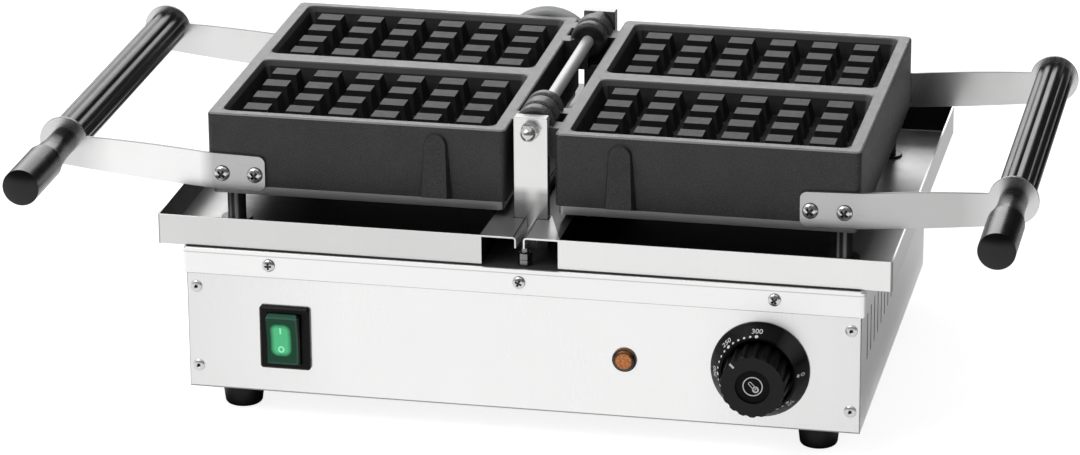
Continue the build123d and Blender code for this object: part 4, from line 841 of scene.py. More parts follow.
class Workshop:
    """Makes pieces from nodes and from new meshes, and dresses them."""

    def __init__(self, finishes: Finishes) -> None:
        """Keeps the finishes."""
        self.finishes = finishes
        self.count = 0

    def turn_out(
        self, work: BMesh, name: str, finish: Any, body: Optional[str], paints: Sequence[Paint] = (),
    ) -> bpy.types.Object:
        """Ends a mesh as a piece of the object.

        Args:
            work: The mesh, in place.
            name: The name of the piece.
            finish: Its finish.
            body: The body that it rides on, or None for a piece that rides on none.
            paints: Further finishes for some of its faces.

        Returns:
            The piece.
        """
        for face in work.faces:
            face.smooth = True
            for index, paint in enumerate(paints):
                if face.material_index == index + 1 or paint.pick(face):
                    face.material_index = index + 1
        for edge in work.edges:
            if len(edge.link_faces) == 2 and edge.calc_face_angle(0.0) > radians(38.0):
                edge.smooth = False
        piece = new_object(name, work)
        for item in (finish, *(paint.finish for paint in paints)):
            piece.data.materials.append(self.finishes.of(item))
        weighted = piece.modifiers.new("flat_faces", "WEIGHTED_NORMAL")
        weighted.keep_sharp = True
        weighted.weight = 70
        if body:
            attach(piece, body)
        self.count += 1
        return piece

    def merged(self, node: str) -> BMesh:
        """Copies a node's mesh, merged and with its flat faces whole."""
        work = bmesh.new()
        work.from_mesh(frame["nodes"][node].data)
        bmesh.ops.remove_doubles(work, verts=work.verts, dist=0.002 * MM)
        bmesh.ops.dissolve_limit(work, angle_limit=radians(0.35), verts=work.verts, edges=work.edges)
        return work

    def refine(
        self, node: str, finish: Any, *rounds: Round, paints: Sequence[Paint] = (),
        shape: Optional[Callable[[BMesh], None]] = None,
    ) -> None:
        """Replaces a node by a copy with rounded edges.

        Args:
            node: The node.
            finish: The finish of the copy.
            rounds: The edges to round, in order.
            paints: Further finishes for some faces.
            shape: What else is done to the copy, before its edges are rounded.
        """
        work = self.merged(node)
        if shape:
            shape(work)
        for item in rounds:
            edges = [
                edge for edge in work.edges
                if len(edge.link_faces) == 2
                and edge.calc_face_angle(0.0) > radians(item.angle)
                and (item.pick is None or item.pick(edge))
            ]
            if edges:
                bmesh.ops.bevel(
                    work, geom=edges, offset=item.width, offset_type="OFFSET", affect="EDGES", segments=item.segments,
                    profile=0.5, material=-1, clamp_overlap=item.clamp, loop_slide=True,
                )
        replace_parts(self.turn_out(work, f"{node}_finished", finish, body_name(node), paints), node)

    def refine_all(self, rows: Sequence[tuple[str, Any, Round]]) -> None:
        """Refines nodes, each given with its finish and its edges."""
        for node, finish, edge in rows:
            self.refine(node, finish, edge)

    def screws(self, node: str, size: float, axis: int) -> None:
        """Replaces a node of screws by copies with domed heads, whose cross recess and brim are painted dark as shade.

        Args:
            node: The node.
            size: The diameter of the shank.
            axis: 1 where the heads face forwards or backwards, 2 where they face down.
        """
        work = self.merged(node)
        heads = [self.measure(shell, size, axis) for shell in self.shells(work)]
        for outward in (-1.0, 1.0):
            seats = [centre[axis] for centre, rise, _ in heads if rise * outward > 0.0]
            if seats:
                level, normal = Vector(), Vector()
                level[axis] = seats[0] + outward * 0.05 * MM
                normal[axis] = outward
                bmesh.ops.bisect_plane(
                    work, geom=everything(work), dist=0.001 * MM, plane_co=level, plane_no=normal, clear_outer=True,
                )
                bmesh.ops.holes_fill(work, edges=open_edges(work), sides=0)
        turns = {(1, True): pi / 2, (1, False): -pi / 2, (2, True): pi, (2, False): 0.0}
        for centre, rise, radius in heads:
            head = self.screw_head(radius, abs(rise))
            turn = Matrix.Rotation(turns[axis, rise < 0.0], 4, "X")
            twist = Matrix.Rotation(radians(23.0 + 37.0 * len(work.verts) % 90.0), 4, "Z")
            join(work, head, Matrix.Translation(centre) @ turn @ twist)
        # Painted shade: the recess and the brim of each head.
        paints = [Paint(finish, lambda face: False) for finish in (self.finishes.recess, self.finishes.shaded_zinc)]
        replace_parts(self.turn_out(work, f"{node}_finished", self.finishes.zinc, body_name(node), paints), node)

    @staticmethod
    def measure(shell: list[BMFace], size: float, axis: int) -> tuple[Vector, float, float]:
        """Measures the head of a screw.

        Args:
            shell: The faces of the screw.
            size: The diameter of its shank.
            axis: The axis along which it lies.

        Returns:
            The middle of the head's seat, how far its tip lies from it along the axis, and its radius.
        """
        points = [vert.co for face in shell for vert in face.verts]
        low, high = (pick(point[axis] for point in points) for pick in (min, max))
        centre = Vector()
        others = [index for index in range(3) if index != axis]
        for index in others:
            centre[index] = (min(point[index] for point in points) + max(point[index] for point in points)) / 2
        away = [(sum((p[index] - centre[index]) ** 2 for index in others) ** 0.5, p[axis]) for p in points]
        wide = [place for reach, place in away if reach > 0.8 * size]
        tip = low if sum(wide) / len(wide) < (low + high) / 2 else high
        centre[axis] = max(wide) if tip == low else min(wide)
        return centre, tip - centre[axis], max(reach for reach, _ in away)

    @staticmethod
    def screw_head(radius: float, rise: float) -> BMesh:
        """Makes a domed head with a cross recess, which stands on its origin.

        Args:
            radius: Its radius.
            rise: Its height.

        Returns:
            The head, with its recess marked as material 1 and its brim, painted dark as shade, as material 2.
        """
        head = bmesh.new()
        bmesh.ops.create_uvsphere(head, u_segments=28, v_segments=14, radius=1.0)
        bmesh.ops.bisect_plane(head, geom=everything(head), dist=0.0001, plane_no=(0, 0, 1), clear_inner=True)
        arm, reach = 0.17, 0.55
        for side in (-1.0, 1.0):
            for place in (arm, reach):
                for way in ((1.0, 0.0, 0.0), (0.0, 1.0, 0.0)):
                    level = tuple(side * place * part for part in way)
                    bmesh.ops.bisect_plane(head, geom=everything(head), dist=0.0001, plane_co=level, plane_no=way)
        cross = []
        for face in head.faces:
            x, y, _ = (abs(part) for part in face.calc_center_median())
            if max(x, y) < reach and min(x, y) < arm:
                cross.append(face)
        grown = bmesh.ops.extrude_face_region(head, geom=cross)["geom"]
        bmesh.ops.delete(head, geom=cross, context="FACES_ONLY")
        sunk = [item for item in grown if isinstance(item, BMVert)]
        bmesh.ops.translate(head, vec=(0.0, 0.0, -0.42), verts=sunk)
        bmesh.ops.scale(head, vec=(0.82, 0.82, 1.0), verts=sunk)
        for face in {face for vert in sunk for face in vert.link_faces}:
            face.material_index = 1
        for face in head.faces:
            if face.calc_center_median().z < 0.24 and not face.material_index:
                face.material_index = 2
        bmesh.ops.scale(head, vec=(radius, radius, rise * 0.84), verts=head.verts)
        bmesh.ops.translate(head, vec=(0.0, 0.0, rise * 0.16), verts=head.verts)
        for item in bmesh.ops.extrude_edge_only(head, edges=open_edges(head))["geom"]:
            if isinstance(item, BMVert):
                item.co.z = 0.0
            elif isinstance(item, BMFace):
                item.material_index = 2
        bmesh.ops.holes_fill(head, edges=open_edges(head), sides=0)
        bmesh.ops.recalc_face_normals(head, faces=head.faces)
        return head

    @staticmethod
    def shells(work: BMesh) -> list[list[BMFace]]:
        """Splits a mesh into its separate shells, always in the same order."""
        left = dict.fromkeys(work.faces)
        found = []
        while left:
            shell = [left.popitem()[0]]
            for face in shell:
                for other in (other for edge in face.edges for other in edge.link_faces):
                    if other in left:
                        del left[other]
                        shell.append(other)
            found.append(shell)
        return found

    def dress(self, finish: Any, *nodes: str) -> None:
        """Gives nodes that stay as they are a finish."""
        for node in nodes:
            for spot in frame["nodes"][node].material_slots:
                spot.link = "OBJECT"
                spot.material = self.finishes.of(finish)


@dataclass
class Castings:
    """The two cast moulds with their covers, screws and inner pieces."""

    shop: Workshop
    edge: float = 0.55 * MM
    knuckle: float = 11.9 * MM
    axis_z: float = 186.5 * MM

    def build(self) -> None:
        """Rounds and dresses the castings and what they carry."""
        finishes = self.shop.finishes
        for side in SIDES:
            self.shop.refine(
                f"mould_{side}", finishes.iron, Round(3.6 * MM, 5, 50.0, self.knuckle_ring),
                Round(self.edge, 2, 24.0, lambda edge: abs(edge_middle(edge).x) > 15.0 * MM),
            )
            cover = f"bottom_cover_{side}"
            fold = Round(1.2 * MM, 3, 40.0, partial(outer_fold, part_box(cover)))
            self.shop.refine(cover, finishes.cover, fold, Round(0.15 * MM, 1, 60.0))
            self.shop.screws(f"cover_screws_{side}", 4.0 * MM, 2)
            self.shop.dress(finishes.mat, f"insulation_{side}")
            self.shop.dress(finishes.heater, f"heater_{side}")

    def knuckle_ring(self, edge: BMEdge) -> bool:
        """Picks the round outer edges of the knuckles."""
        spans = [(vert.co.x, vert.co.z - self.axis_z) for vert in edge.verts]
        level = abs(edge.verts[0].co.y - edge.verts[1].co.y) < 0.01 * MM
        return level and all(abs((x * x + z * z) ** 0.5 - self.knuckle) < 0.15 * MM for x, z in spans)


@dataclass
class Housing:
    """Casing, deck, panels and drip pans."""

    shop: Workshop
    sheet: float = 1.0 * MM
    deck_fold: float = 3.0 * MM
    pan_fold: float = 2.0 * MM
    cut_edge: float = 0.5 * MM
    gap_half: float = 24.0 * MM

    def build(self) -> None:
        """Folds the sheet edges and dresses the sheets."""
        finishes, refine = self.shop.finishes, self.shop.refine
        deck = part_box("deck")
        refine(
            "deck", finishes.deck,
            Round(self.deck_fold, 4, 40.0, partial(self.top_fold, deck), clamp=False),
            Round(self.deck_fold - self.sheet, 4, 40.0, partial(self.top_fold, self.inside(deck)), clamp=False),
            Round(self.cut_edge, 1, 60.0, partial(self.lip_edge, deck)),
            paints=(
                # Painted shade: the deck's flat top under and between the pans, and a dark band along the lip's lower
                # edge.
                Paint(finishes.deck_shade, lambda face: face.normal.z > 0.995 and self.on_top(deck, face)),
                Paint(finishes.cut_edge_and_shade, partial(self.lip_bottom, deck)),
            ),
        )
        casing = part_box("casing_shell")
        refine("casing_shell", finishes.sheet_y, paints=(Paint(finishes.shade, partial(self.within, casing)),))
        # Painted shade along the panels' edges.
        cut = Paint(finishes.cut_edge_and_shade, lambda face: abs(face.normal.y) < 0.9)
        for node, finish in (("front_panel", finishes.panel), ("rear_panel", finishes.sheet_z)):
            refine(node, finish, Round(self.cut_edge, 2, 60.0, partial(outer_fold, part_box(node))), paints=(cut,))
        for side in SIDES:
            node = f"pan_{side}"
            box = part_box(node)
            refine(
                node, finishes.pans[side],
                Round(self.pan_fold, 4, 40.0, partial(self.pan_corner, box), clamp=False),
                Round(self.pan_fold - self.sheet, 4, 40.0, partial(self.pan_corner, self.inside(box)), clamp=False),
                Round(1.0 * MM, 3, 40.0, partial(self.pan_bottom, box), clamp=False),
                Round(0.45 * MM, 2, 60.0, partial(self.notch_edge, box)),
                Round(0.15 * MM, 1, 60.0, self.long_edge),
                paints=(
                    # Painted shade: the pan's inside, its flange top beside the gap and the sideways half of its
                    # upright folds.
                    Paint(finishes.pan_inside, partial(self.pan_inner, box)),
                    Paint(finishes.flanges[side], partial(self.flange, box)),
                    Paint(finishes.cut_edge_and_shade, partial(self.pan_turn, box)),
                ),
            )

    def inside(self, box: Box) -> Box:
        """Gives the box of the inner faces of folded sheet."""
        step = Vector((self.sheet,) * 3)
        return box[0] + step, box[1] - step

    def on_top(self, box: Box, face: BMFace) -> bool:
        """Picks the faces at the top of a box."""
        return face.calc_center_median().z > box[1].z - 0.1 * MM

    def lip_bottom(self, box: Box, face: BMFace) -> bool:
        """Picks the cut lower edge of the deck's lip."""
        return face.normal.z < -0.3 and face.calc_center_median().z < box[0].z + self.sheet

    def top_fold(self, box: Box, edge: BMEdge) -> bool:
        """Picks the folds at the top and the corners of a sheet, not its cut lower edge."""
        return outer_fold(box, edge) and edge_middle(edge).z > box[0].z + 0.5 * self.sheet

    def lip_edge(self, box: Box, edge: BMEdge) -> bool:
        """Picks the outer of the cut lower edges of a sheet's lip."""
        return outer_fold(box, edge) and edge_middle(edge).z < box[0].z + 0.5 * self.sheet

    def flange(self, box: Box, face: BMFace) -> bool:
        """Picks the top of the flange."""
        return face.normal.z > 0.97 and self.on_top(box, face) and abs(face.calc_center_median().x) < self.gap_half

    def pan_turn(self, box: Box, face: BMFace) -> bool:
        """Picks the half of each upright outer fold that faces sideways."""
        far = abs(face.calc_center_median().x) > max(abs(box[0].x), abs(box[1].x)) - self.pan_fold
        return far and abs(face.normal.x) > 0.5 and abs(face.normal.y) > 0.15 and abs(face.normal.z) < 0.3

    def pan_bottom(self, box: Box, edge: BMEdge) -> bool:
        """Picks the long lower edges of a pan."""
        middle = edge_middle(edge)
        near = min(abs(middle[axis] - corner[axis]) for axis in (0, 1) for corner in box)
        return abs(middle.z - box[0].z) < 0.05 * MM and near < 0.05 * MM and edge.calc_length() > 0.3 * MM

    def within(self, box: Box, face: BMFace) -> bool:
        """Picks the casing's inner faces and the walls of its slits."""
        middle = face.calc_center_median()
        side = min(abs(middle.x - box[0].x), abs(middle.x - box[1].x))
        return side > 0.05 * MM and middle.z > box[0].z + 0.05 * MM

    def pan_inner(self, box: Box, face: BMFace) -> bool:
        """Picks a pan's floor and the inner faces of its walls."""
        low, high = box
        middle, half = face.calc_center_median(), 0.5 * self.sheet
        outer = max(abs(low.x), abs(high.x)) - half
        clear = self.gap_half - 2.0 * self.sheet < abs(middle.x) < outer and face.normal.y < 0.7
        return clear and low.z + half < middle.z < high.z - half and low.y + half < middle.y < high.y - half

    def notch_edge(self, box: Box, edge: BMEdge) -> bool:
        """Picks the flange's edges round the bracket's notch."""
        span, middle = edge.verts[1].co - edge.verts[0].co, edge_middle(edge)
        across = abs(span.x) > 0.9 * span.length and 4.0 * MM < span.length < 20.0 * MM
        return across and abs(middle.z - box[1].z) < 0.1 * MM and abs(middle.x) < self.gap_half

    def long_edge(self, edge: BMEdge) -> bool:
        """Picks the long edges along X."""
        span = edge.verts[1].co - edge.verts[0].co
        return span.length > 40.0 * MM and abs(span.x) > 0.99 * span.length

    def pan_corner(self, box: Box, edge: BMEdge) -> bool:
        """Picks a pan's upright corners and the fold of its flange, on its outer or inner faces."""
        low, high = box
        middle, length = edge_middle(edge), edge.calc_length()
        outer = sum(min(abs(middle[axis] - low[axis]), abs(middle[axis] - high[axis])) < 0.05 * MM for axis in (0, 1))
        near = abs(abs(middle.x) - min(abs(low.x), abs(high.x))) < 0.05 * MM
        fold = abs(middle.z - high.z) < 0.05 * MM and near and length > 10.0 * MM
        return fold or (abs(middle.x) > self.gap_half and outer == 2 and length > 5.0 * MM)


@dataclass
class Hinge:
    """Brackets, shaft, cap nuts, support posts and earth stud."""

    shop: Workshop

    def build(self) -> None:
        """Rounds and dresses the hinge and the posts."""
        finishes = self.shop.finishes
        self.shop.refine_all((
            ("bracket_front", finishes.bracket, Round(0.3 * MM, 2, 40.0)),
            ("bracket_rear", finishes.bracket, Round(0.3 * MM, 2, 40.0)),
            ("hinge_nuts", finishes.zinc, Round(0.25 * MM, 2, 40.0)),
            ("hinge_shaft", finishes.shaft, Round(0.15 * MM, 1, 40.0)),
            ("support_posts", finishes.post, Round(0.4 * MM, 2, 50.0)),
            ("post_washers", finishes.washer, Round(0.3 * MM, 2, 50.0)),
            # Painted shade: the earth nuts here and the earth stud below take darkened zinc.
            ("earth_nuts", finishes.shaded_zinc, Round(0.2 * MM, 1, 50.0)),
        ))
        self.shop.dress(finishes.shaded_zinc, "earth_stud")


@dataclass
class Arms:
    """Straps, screws, bolts, grips and front handles."""

    shop: Workshop

    def build(self) -> None:
        """Rounds and dresses the arms."""
        finishes = self.shop.finishes
        cut = Paint(finishes.cut_edge_and_shade, lambda face: abs(face.normal.y) < 0.85)
        end = Paint(finishes.handle_end, lambda face: face.normal.y < -0.9)
        for side in SIDES:
            for row in ("front", "rear"):
                self.shop.refine(f"strap_{row}_{side}", finishes.strap, Round(0.4 * MM, 2, 45.0), paints=(cut,))
            self.shop.screws(f"strap_screws_{side}", 5.0 * MM, 1)
            self.shop.refine_all((
                (f"handle_bolt_{side}", finishes.zinc, Round(0.2 * MM, 1, 40.0)),
                (f"grip_{side}", finishes.grip, Round(0.6 * MM, 2, 50.0)),
            ))
            self.shop.refine(
                f"handle_{side}", finishes.phenolic, Round(0.7 * MM, 4, 50.0), paints=(end,), shape=self.dome,
            )

    @staticmethod
    def dome(work: BMesh) -> None:
        """Gives a handle's front end a shallow dome within a thin rim."""
        end = [max((face for face in work.faces if face.normal.y < -0.99), key=lambda face: face.calc_area())]
        radius = (end[0].calc_area() / pi) ** 0.5
        for inset, rise in ((0.14, 0.0), (0.05, -0.02), (0.16, 0.07), (0.16, 0.05), (0.16, 0.03), (0.12, 0.01)):
            bmesh.ops.inset_region(work, faces=end, thickness=inset * radius, depth=rise * radius)


@dataclass
class PopRivets:
    """Ring-shaped rivet heads of the two panels, each with its hole painted dark as shade."""

    shop: Workshop
    head: float = 3.9 * MM
    bore: float = 1.1 * MM
    rise: float = 1.4 * MM
    sunk: float = 0.9 * MM
    spacing_x: float = 409.6 * MM
    heights: tuple[float, float] = (31.4 * MM, 84.0 * MM)
    front_y: float = -129.5 * MM
    rear_y: float = 169.5 * MM

    def one_head(self) -> BMesh:
        """Spins one head round the Z axis."""
        work = bmesh.new()
        lathe(work, (
            (self.bore, -self.sunk), (self.bore, self.rise * 0.80), (self.bore * 1.35, self.rise),
            (self.head * 0.72, self.rise * 0.88), (self.head * 0.93, self.rise * 0.45), (self.head, 0.0),
        ), 28)
        cap = bmesh.ops.create_circle(work, cap_ends=True, radius=self.bore * 1.02, segments=28)
        for vert in cap["verts"]:
            vert.co.z = -self.sunk * 0.5
        return work

    def build(self) -> None:
        """Makes the eight heads as one piece."""
        work = bmesh.new()
        for y, turn in ((self.front_y, pi / 2), (self.rear_y, -pi / 2)):
            for x in (-self.spacing_x / 2, self.spacing_x / 2):
                for z in self.heights:
                    join(work, self.one_head(), Matrix.Translation((x, y, z)) @ Matrix.Rotation(turn, 4, "X"))
        bmesh.ops.recalc_face_normals(work, faces=work.faces)
        # Painted shade inside each bore.
        hole = Paint(self.shop.finishes.recess, self.in_bore)
        piece = self.shop.turn_out(work, "panel_rivets_pop", self.shop.finishes.rivet, "base", (hole,))
        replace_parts(piece, "panel_rivets")

    def in_bore(self, face: BMFace) -> bool:
        """Picks the faces of the bores."""
        middle = face.calc_center_median()
        height = min(self.heights, key=lambda level: abs(level - middle.z))
        return ((abs(middle.x) - self.spacing_x / 2) ** 2 + (middle.z - height) ** 2) ** 0.5 < self.bore * 1.05


@dataclass
class Fasteners:
    """Deck screws, foot screws and deck bolts."""

    shop: Workshop

    def build(self) -> None:
        """Rounds and dresses the screws."""
        self.shop.screws("deck_screws", 4.0 * MM, 1)
        self.shop.dress(self.shop.finishes.zinc, "foot_screws", "deck_bolts")


@dataclass
class RockerSwitch:
    """The mains switch."""

    shop: Workshop
    centre: Place = (-150.0 * MM, -131.0 * MM, 54.2 * MM)
    middle_z: float = 54.7 * MM
    upper: float = 0.94
    # Width of the rocker's right strip that is painted dark as shade.
    side: float = 2.4 * MM

    def build(self) -> None:
        """Rounds and dresses the frame and the rocker."""
        low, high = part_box("switch_rocker")
        high_z = self.middle_z + (high.z - self.middle_z) * self.upper
        right = high.x - self.side
        face = ((low.x + right) / 2, (low.z + high_z) / 2, (right - low.x) / 2, (high_z - low.z) / 2)
        green = RockerGreen(self.centre, face)
        for node, finish in (("switch_body", self.shop.finishes.frame), ("switch_rocker", green)):
            self.shop.refine(node, finish, Round(0.35 * MM, 2, 40.0), shape=self.lower_top)

    def lower_top(self, work: BMesh) -> None:
        """Draws the upper half in a little, in front of the panel."""
        for vert in work.verts:
            if vert.co.z > self.middle_z and vert.co.y < self.centre[1] + 1.6 * MM:
                vert.co.z = self.middle_z + (vert.co.z - self.middle_z) * self.upper


@dataclass
class PilotLamp:
    """The amber lamp: a crowned lens in a black collar."""

    shop: Workshop
    centre: Place = (65.4 * MM, 0.0, 55.0 * MM)
    lens_radius: float = 6.5 * MM
    back_y: float = -130.1 * MM
    profile: tuple[tuple[float, float], ...] = (
        (1.00, 0.0), (1.00, 1.9), (0.965, 2.4), (0.90, 2.75), (0.80, 2.95), (0.60, 3.15), (0.30, 3.32), (0.0, 3.38),
    )

    def build(self) -> None:
        """Spins the lens and dresses the collar."""
        collar = LensAmber(self.centre, "lamp_collar", "black_plastic")
        self.shop.refine("lamp_body", collar, Round(0.3 * MM, 2, 40.0))
        work = bmesh.new()
        lathe(work, [(share * self.lens_radius, rise * MM) for share, rise in self.profile], 48)
        bmesh.ops.remove_doubles(work, verts=work.verts, dist=0.01 * MM)
        bmesh.ops.contextual_create(work, geom=open_edges(work))
        stand_up(work, (self.centre[0], self.back_y, self.centre[2]))
        bmesh.ops.recalc_face_normals(work, faces=work.faces)
        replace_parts(self.shop.turn_out(work, "lamp_lens_crowned", LensAmber(self.centre), "base"), "lamp_lens")


@dataclass
class Dial:
    """Scale with its numbers and dots, and the knob with its marks."""

    shop: Workshop
    centre_x: float = 149.4 * MM
    centre_z: float = 55.2 * MM
    panel_y: float = -129.5 * MM
    rim_radius: float = 30.5 * MM
    rim_height: float = 1.5 * MM
    lip_radius: float = 24.15 * MM
    lip_height: float = 10.4 * MM
    number_radius: float = 26.9 * MM
    dot_radius: float = 24.75 * MM
    first_angle: float = 87.6
    step_angle: float = 9.0
    number_size: float = 4.75 * MM
    lift: float = 0.04 * MM
    knob_front: float = 30.5 * MM
    knob_radius: float = 19.9 * MM
    knob_angle: float = -44.5
    glass_angle: float = 42.0

    def on_cone(self, work: BMesh, radius: float, angle: float) -> BMesh:
        """Lays a flat mark on the cone.

        Args:
            work: The mark, in its own X and Y, with Y towards the rim.
            radius: The radius of its origin.
            angle: Its place, clockwise from the top, in degrees.

        Returns:
            The mark.
        """
        run, fall = self.rim_radius - self.lip_radius, self.lip_height - self.rim_height
        height = self.rim_height + (self.rim_radius - radius) * fall / run
        length = (run * run + fall * fall) ** 0.5
        run, fall = run / length, fall / length
        for vert in work.verts:
            u, v, w = vert.co
            reach = radius + v * run + w * fall
            depth = height - v * fall + w * run
            turn = radians(angle) + u / radius
            vert.co = (self.centre_x + reach * sin(turn), self.panel_y - depth, self.centre_z + reach * cos(turn))
        return work

    def number(self, text: str) -> BMesh:
        """Makes a number as a thin mesh, centred on its origin."""
        curve = bpy.data.curves.new(f"number_{text}", "FONT")
        curve.body = text
        curve.size = self.number_size
        curve.extrude = self.lift
        curve.align_x = curve.align_y = "CENTER"
        holder = bpy.data.objects.new(f"number_{text}", curve)
        bpy.context.scene.collection.objects.link(holder)
        bpy.context.view_layer.update()
        mesh = bpy.data.meshes.new_from_object(holder.evaluated_get(bpy.context.evaluated_depsgraph_get()))
        work = bmesh.new()
        work.from_mesh(mesh)
        bpy.data.objects.remove(holder)
        bpy.data.curves.remove(curve)
        bpy.data.meshes.remove(mesh)
        return work

    def disc(self, radius: float) -> BMesh:
        """Makes a thin round dot."""
        work = bmesh.new()
        bmesh.ops.create_cone(
            work, cap_ends=True, segments=20, radius1=radius, radius2=radius * 0.9, depth=2 * self.lift,
        )
        return work

    def build(self) -> None:
        """Builds the scale's marks and the knob's marks, and dresses both."""
        finishes = self.shop.finishes
        self.shop.refine("scale_disc", ScaleCone((self.centre_x, 0.0, self.centre_z)), Round(0.2 * MM, 2, 50.0))
        dark = Paint(finishes.dial_dark, self.knob_dark)
        self.shop.refine("thermostat_knob", finishes.dial, Round(0.3 * MM, 2, 40.0), paints=(dark,))
        self.shop.dress(finishes.zinc, "thermostat_body", "thermostat_screws")
        marks = bmesh.new()
        for tens in (0, *range(5, 31)):
            whole = tens % 5 == 0
            angle = self.first_angle + tens * self.step_angle
            join(marks, self.on_cone(self.disc((1.15 if whole else 0.8) * MM), self.dot_radius, angle))
            if whole:
                join(marks, self.on_cone(self.number(str(tens * 10)), self.number_radius, angle))
        self.shop.turn_out(marks, "scale_marks", finishes.white, "base")
        self.knob_marks()

    def knob_dark(self, face: BMFace) -> bool:
        """Picks the knob's side and the floor of its recess, which are painted dark as shade."""
        sunk = self.panel_y - face.calc_center_median().y < self.knob_front - 0.3 * MM
        return abs(face.normal.y) < 0.5 or (sunk and face.normal.y < -0.9)

    def band(self, inner: float, outer: float, start: float, stretch: float = 0.0) -> BMesh:
        """Makes a flat ring, drawn out to a long loop.

        Args:
            inner: Its inner radius.
            outer: Its outer radius.
            start: The height of its lower face.
            stretch: How far its upper half moves along Y.

        Returns:
            The ring.
        """
        work = bmesh.new()
        end = start + 2 * self.lift
        lathe(work, ((inner, start), (outer, start), (outer, end), (inner, end)), 48, closed=True)
        bmesh.ops.recalc_face_normals(work, faces=work.faces)
        for vert in work.verts:
            if vert.co.y > 0.0001 * MM:
                vert.co.y += stretch
        return work

    def knob_marks(self) -> None:
        """Builds the pointer, the ring and the thermometer on the knob."""
        floor = self.knob_front - 1.5 * MM
        marks = self.band(5.55 * MM, 6.2 * MM, floor)
        tilt = Matrix.Rotation(radians(self.glass_angle), 4, "Z")
        for inner, outer, stretch, drop in ((0.70, 1.15, 4.0, 1.6), (1.15, 2.1, 0.0, 2.6)):
            loop = self.band(inner * MM, outer * MM, floor, stretch * MM)
            join(marks, loop, tilt @ Matrix.Translation((0.0, -drop * MM, 0.0)))
        pointer = bmesh.new()
        bmesh.ops.create_cube(pointer, size=1.0)
        bmesh.ops.scale(pointer, vec=(1.4 * MM, 3.6 * MM, 0.5 * MM), verts=pointer.verts)
        bmesh.ops.bevel(
            pointer, geom=pointer.edges[:], offset=0.12 * MM, offset_type="OFFSET", affect="EDGES", segments=2,
            profile=0.5, material=-1,
        )
        place = Matrix.Translation((0.0, self.knob_radius - 1.8 * MM, self.knob_front - 0.1 * MM))
        join(marks, pointer, Matrix.Rotation(radians(-self.knob_angle), 4, "Z") @ place)
        stand_up(marks, (self.centre_x, self.panel_y, self.centre_z))
        self.shop.turn_out(marks, "knob_marks", self.shop.finishes.white, "knob")


@dataclass
class Underside:
    """Feet, and the wiring pieces inside and behind the casing."""

    shop: Workshop
    inner_x: float = 13.2 * MM
    outer_gap: float = 8.0 * MM

    def build(self) -> None:
        """Rounds and dresses them."""
        finishes = self.shop.finishes
        feet = [f"foot_{row}_{side}" for row in ("front", "rear") for side in SIDES]
        self.shop.refine_all((
            *((node, finishes.rubber, Round(0.5 * MM, 2, 50.0)) for node in feet),
            ("cable_gland", finishes.plastic, Round(0.3 * MM, 2, 40.0)),
            ("gland_nut", finishes.plastic, Round(0.2 * MM, 1, 40.0)),
            ("terminal_block", finishes.ceramic, Round(0.4 * MM, 2, 50.0)),
            ("conduit_glands", finishes.alloy, Round(0.3 * MM, 2, 50.0)),
        ))
        for side in SIDES:
            self.shop.refine(f"conduit_elbow_{side}", finishes.alloy, Round(0.3 * MM, 2, 50.0))
            self.conduit(side)

    def conduit(self, side: str) -> None:
        """Makes a conduit as one piece that rides on no body."""
        node = f"conduit_{side}"
        piece = self.shop.turn_out(self.shop.merged(node), f"{node}_bending", self.shop.finishes.conduit, None)
        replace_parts(piece, node)
        if side == "left":
            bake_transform(piece)
        else:
            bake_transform(piece)


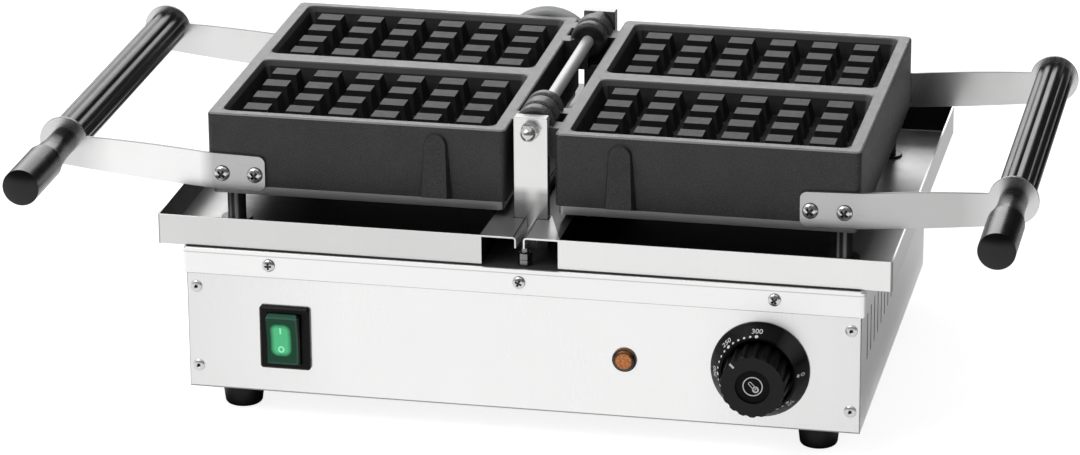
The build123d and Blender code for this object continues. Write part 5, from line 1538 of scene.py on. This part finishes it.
@dataclass
class Studio:
    """Floor, world light, lamps and camera."""

    floor_half: float = 6.0
    floor_glow: float = 0.84
    ambient: float = 0.42
    camera_place: Place = (0.5683, -2.7569, 1.1263)
    yaw: float = -11.93
    pitch: float = 20.215
    roll: float = -0.42
    lens: float = 157.09
    lamps: tuple[tuple[str, Place, Place, tuple[float, float], float], ...] = (
        ("key", (-1.4, -1.3, 2.6), (0.0, 0.0, 0.12), (2.2, 2.2), 46.0),
        ("rear_box", (-1.0, 3.0, 1.25), (0.0, 0.1, 0.18), (2.6, 1.3), 26.0),
    )
    cards: tuple[tuple[str, Place, Place, float], ...] = (
        ("front_card", (-5.0, -3.6, 0.25), (5.0, -3.6, 4.5), 0.02),
        ("right_card", (2.6, -3.5, 0.0), (2.6, 4.5, 3.5), 0.03),
        ("rear_card", (0.35, 4.0, 0.0), (5.0, 4.0, 4.0), 0.03),
        ("side_cloth", (0.222, -0.13, 0.0008), (2.5, 0.75, 0.0008), 0.95),
        ("rear_cloth", (-2.5, 0.30, 0.0006), (2.5, 4.0, 0.0006), 0.12),
        # under_cloth is painted shadow: a dark sheet under the object that only gloss sees, standing in for the shade
        # there.
        ("under_cloth", (-0.205, -0.125, 0.0005), (0.205, 0.165, 0.0005), 0.03),
    )

    def build(self) -> None:
        """Builds the studio."""
        self.floor()
        self.world()
        for row in self.cards:
            self.card(*row)
        for row in self.lamps:
            self.lamp(*row)
        self.camera()
        bpy.context.scene.view_settings.view_transform = "Standard"

    def lamp(self, name: str, place: Place, target: Place, size: tuple[float, float], power: float) -> None:
        """Hangs a rectangular area lamp.

        Args:
            name: Its name.
            place: Where it hangs.
            target: Where it points.
            size: Its width and height.
            power: Its power in watts.
        """
        light = bpy.data.lights.new(name, "AREA")
        light.shape = "RECTANGLE"
        light.size, light.size_y = size
        light.energy = power
        holder = bpy.data.objects.new(name, light)
        bpy.context.scene.collection.objects.link(holder)
        holder.location = place
        holder.rotation_euler = (Vector(target) - Vector(place)).to_track_quat("-Z", "Y").to_euler()
        holder.visible_camera = False

    def panel(self, name: str, place: Matrix, material: bpy.types.Material, hidden: Sequence[str] = ()) -> None:
        """Lays or stands a flat square beside the object.

        Args:
            name: Its name.
            place: What turns a square with sides of 1 into it.
            material: Its material.
            hidden: The kinds of ray that don't meet it.
        """
        work = bmesh.new()
        bmesh.ops.create_grid(work, x_segments=1, y_segments=1, size=0.5)
        bmesh.ops.transform(work, matrix=place, verts=work.verts)
        made = new_object(name, work)
        made.data.materials.append(material)
        for ray in hidden:
            setattr(made, f"visible_{ray}", False)

    def card(self, name: str, low: Place, high: Place, level: float) -> None:
        """Stands a grey card that only shows in gloss, as a photographer does beside metal.

        Args:
            name: Its name.
            low: Its lowest corner.
            high: Its highest corner.
            level: How light its grey is.
        """
        span = Vector(high) - Vector(low)
        if span.z > 0.0:
            across = Vector((span.x, span.y, 0.0))
            turn = Matrix((across, Vector((0.0, 0.0, span.z)), across.cross(Vector((0.0, 0.0, 1.0))))).transposed()
        else:
            turn = Matrix.Diagonal((span.x, span.y, 1.0))
        place = Matrix.Translation((Vector(low) + Vector(high)) / 2) @ turn.to_4x4()
        matt = Graph(name).surface(Base_Color=grey(level), Roughness=0.9)
        self.panel(name, place, matt, ("camera", "diffuse", "transmission", "volume_scatter", "shadow"))

    def floor(self) -> None:
        """Makes the pale floor, which keeps a soft shadow."""
        graph = Graph("floor")
        matte = graph.node("ShaderNodeBsdfDiffuse", None, {0: grey(0.52)})
        glow = graph.node("ShaderNodeEmission", None, {0: grey(1.0), 1: graph.seen() * self.floor_glow})
        both = graph.node("ShaderNodeAddShader", None, {0: matte.outputs[0], 1: glow.outputs[0]})
        side = 2.0 * self.floor_half
        self.panel("floor", Matrix.Diagonal((side, side, 1.0, 1.0)), graph.show(both))

    def world(self) -> None:
        """Lights the scene evenly and shows white behind it."""
        graph = Graph("studio", world=True)
        ends = {"Value": graph.seen(), "To Min": self.ambient, "To Max": 1.0}
        strength = graph.value("ShaderNodeMapRange", None, ends)
        bpy.context.scene.world = graph.show(graph.node("ShaderNodeBackground", None, {"Strength": strength}))

    def camera(self) -> None:
        """Places the camera at the photograph's angle."""
        yaw, pitch, roll = (radians(value) for value in (self.yaw, self.pitch, self.roll))
        ahead = Vector((sin(yaw) * cos(pitch), cos(yaw) * cos(pitch), -sin(pitch)))
        level = Vector((cos(yaw), -sin(yaw), 0.0))
        upright = level.cross(ahead)
        right = cos(roll) * level + sin(roll) * upright
        up = cos(roll) * upright - sin(roll) * level
        turn = Matrix((right, up, -ahead)).transposed().to_4x4()
        data = bpy.data.cameras.new("camera")
        data.sensor_fit = "HORIZONTAL"
        data.sensor_width = 36.0
        data.lens = self.lens
        holder = bpy.data.objects.new("camera", data)
        bpy.context.scene.collection.objects.link(holder)
        holder.matrix_world = Matrix.Translation(self.camera_place) @ turn
        bpy.context.scene.camera = holder


def main() -> None:
    """Builds the whole scene in order and reports each step."""
    logging.basicConfig(level=logging.INFO, format="%(message)s")
    Studio().build()
    shop = Workshop(Finishes())
    for kind in (
        Castings, Housing, Hinge, Arms, PopRivets, Fasteners, RockerSwitch, PilotLamp, Dial, Underside,
    ):
        kind(shop).build()
        LOG.info("%s: %d pieces so far", kind.__name__, shop.count)


if __name__ == "__main__":
    main()
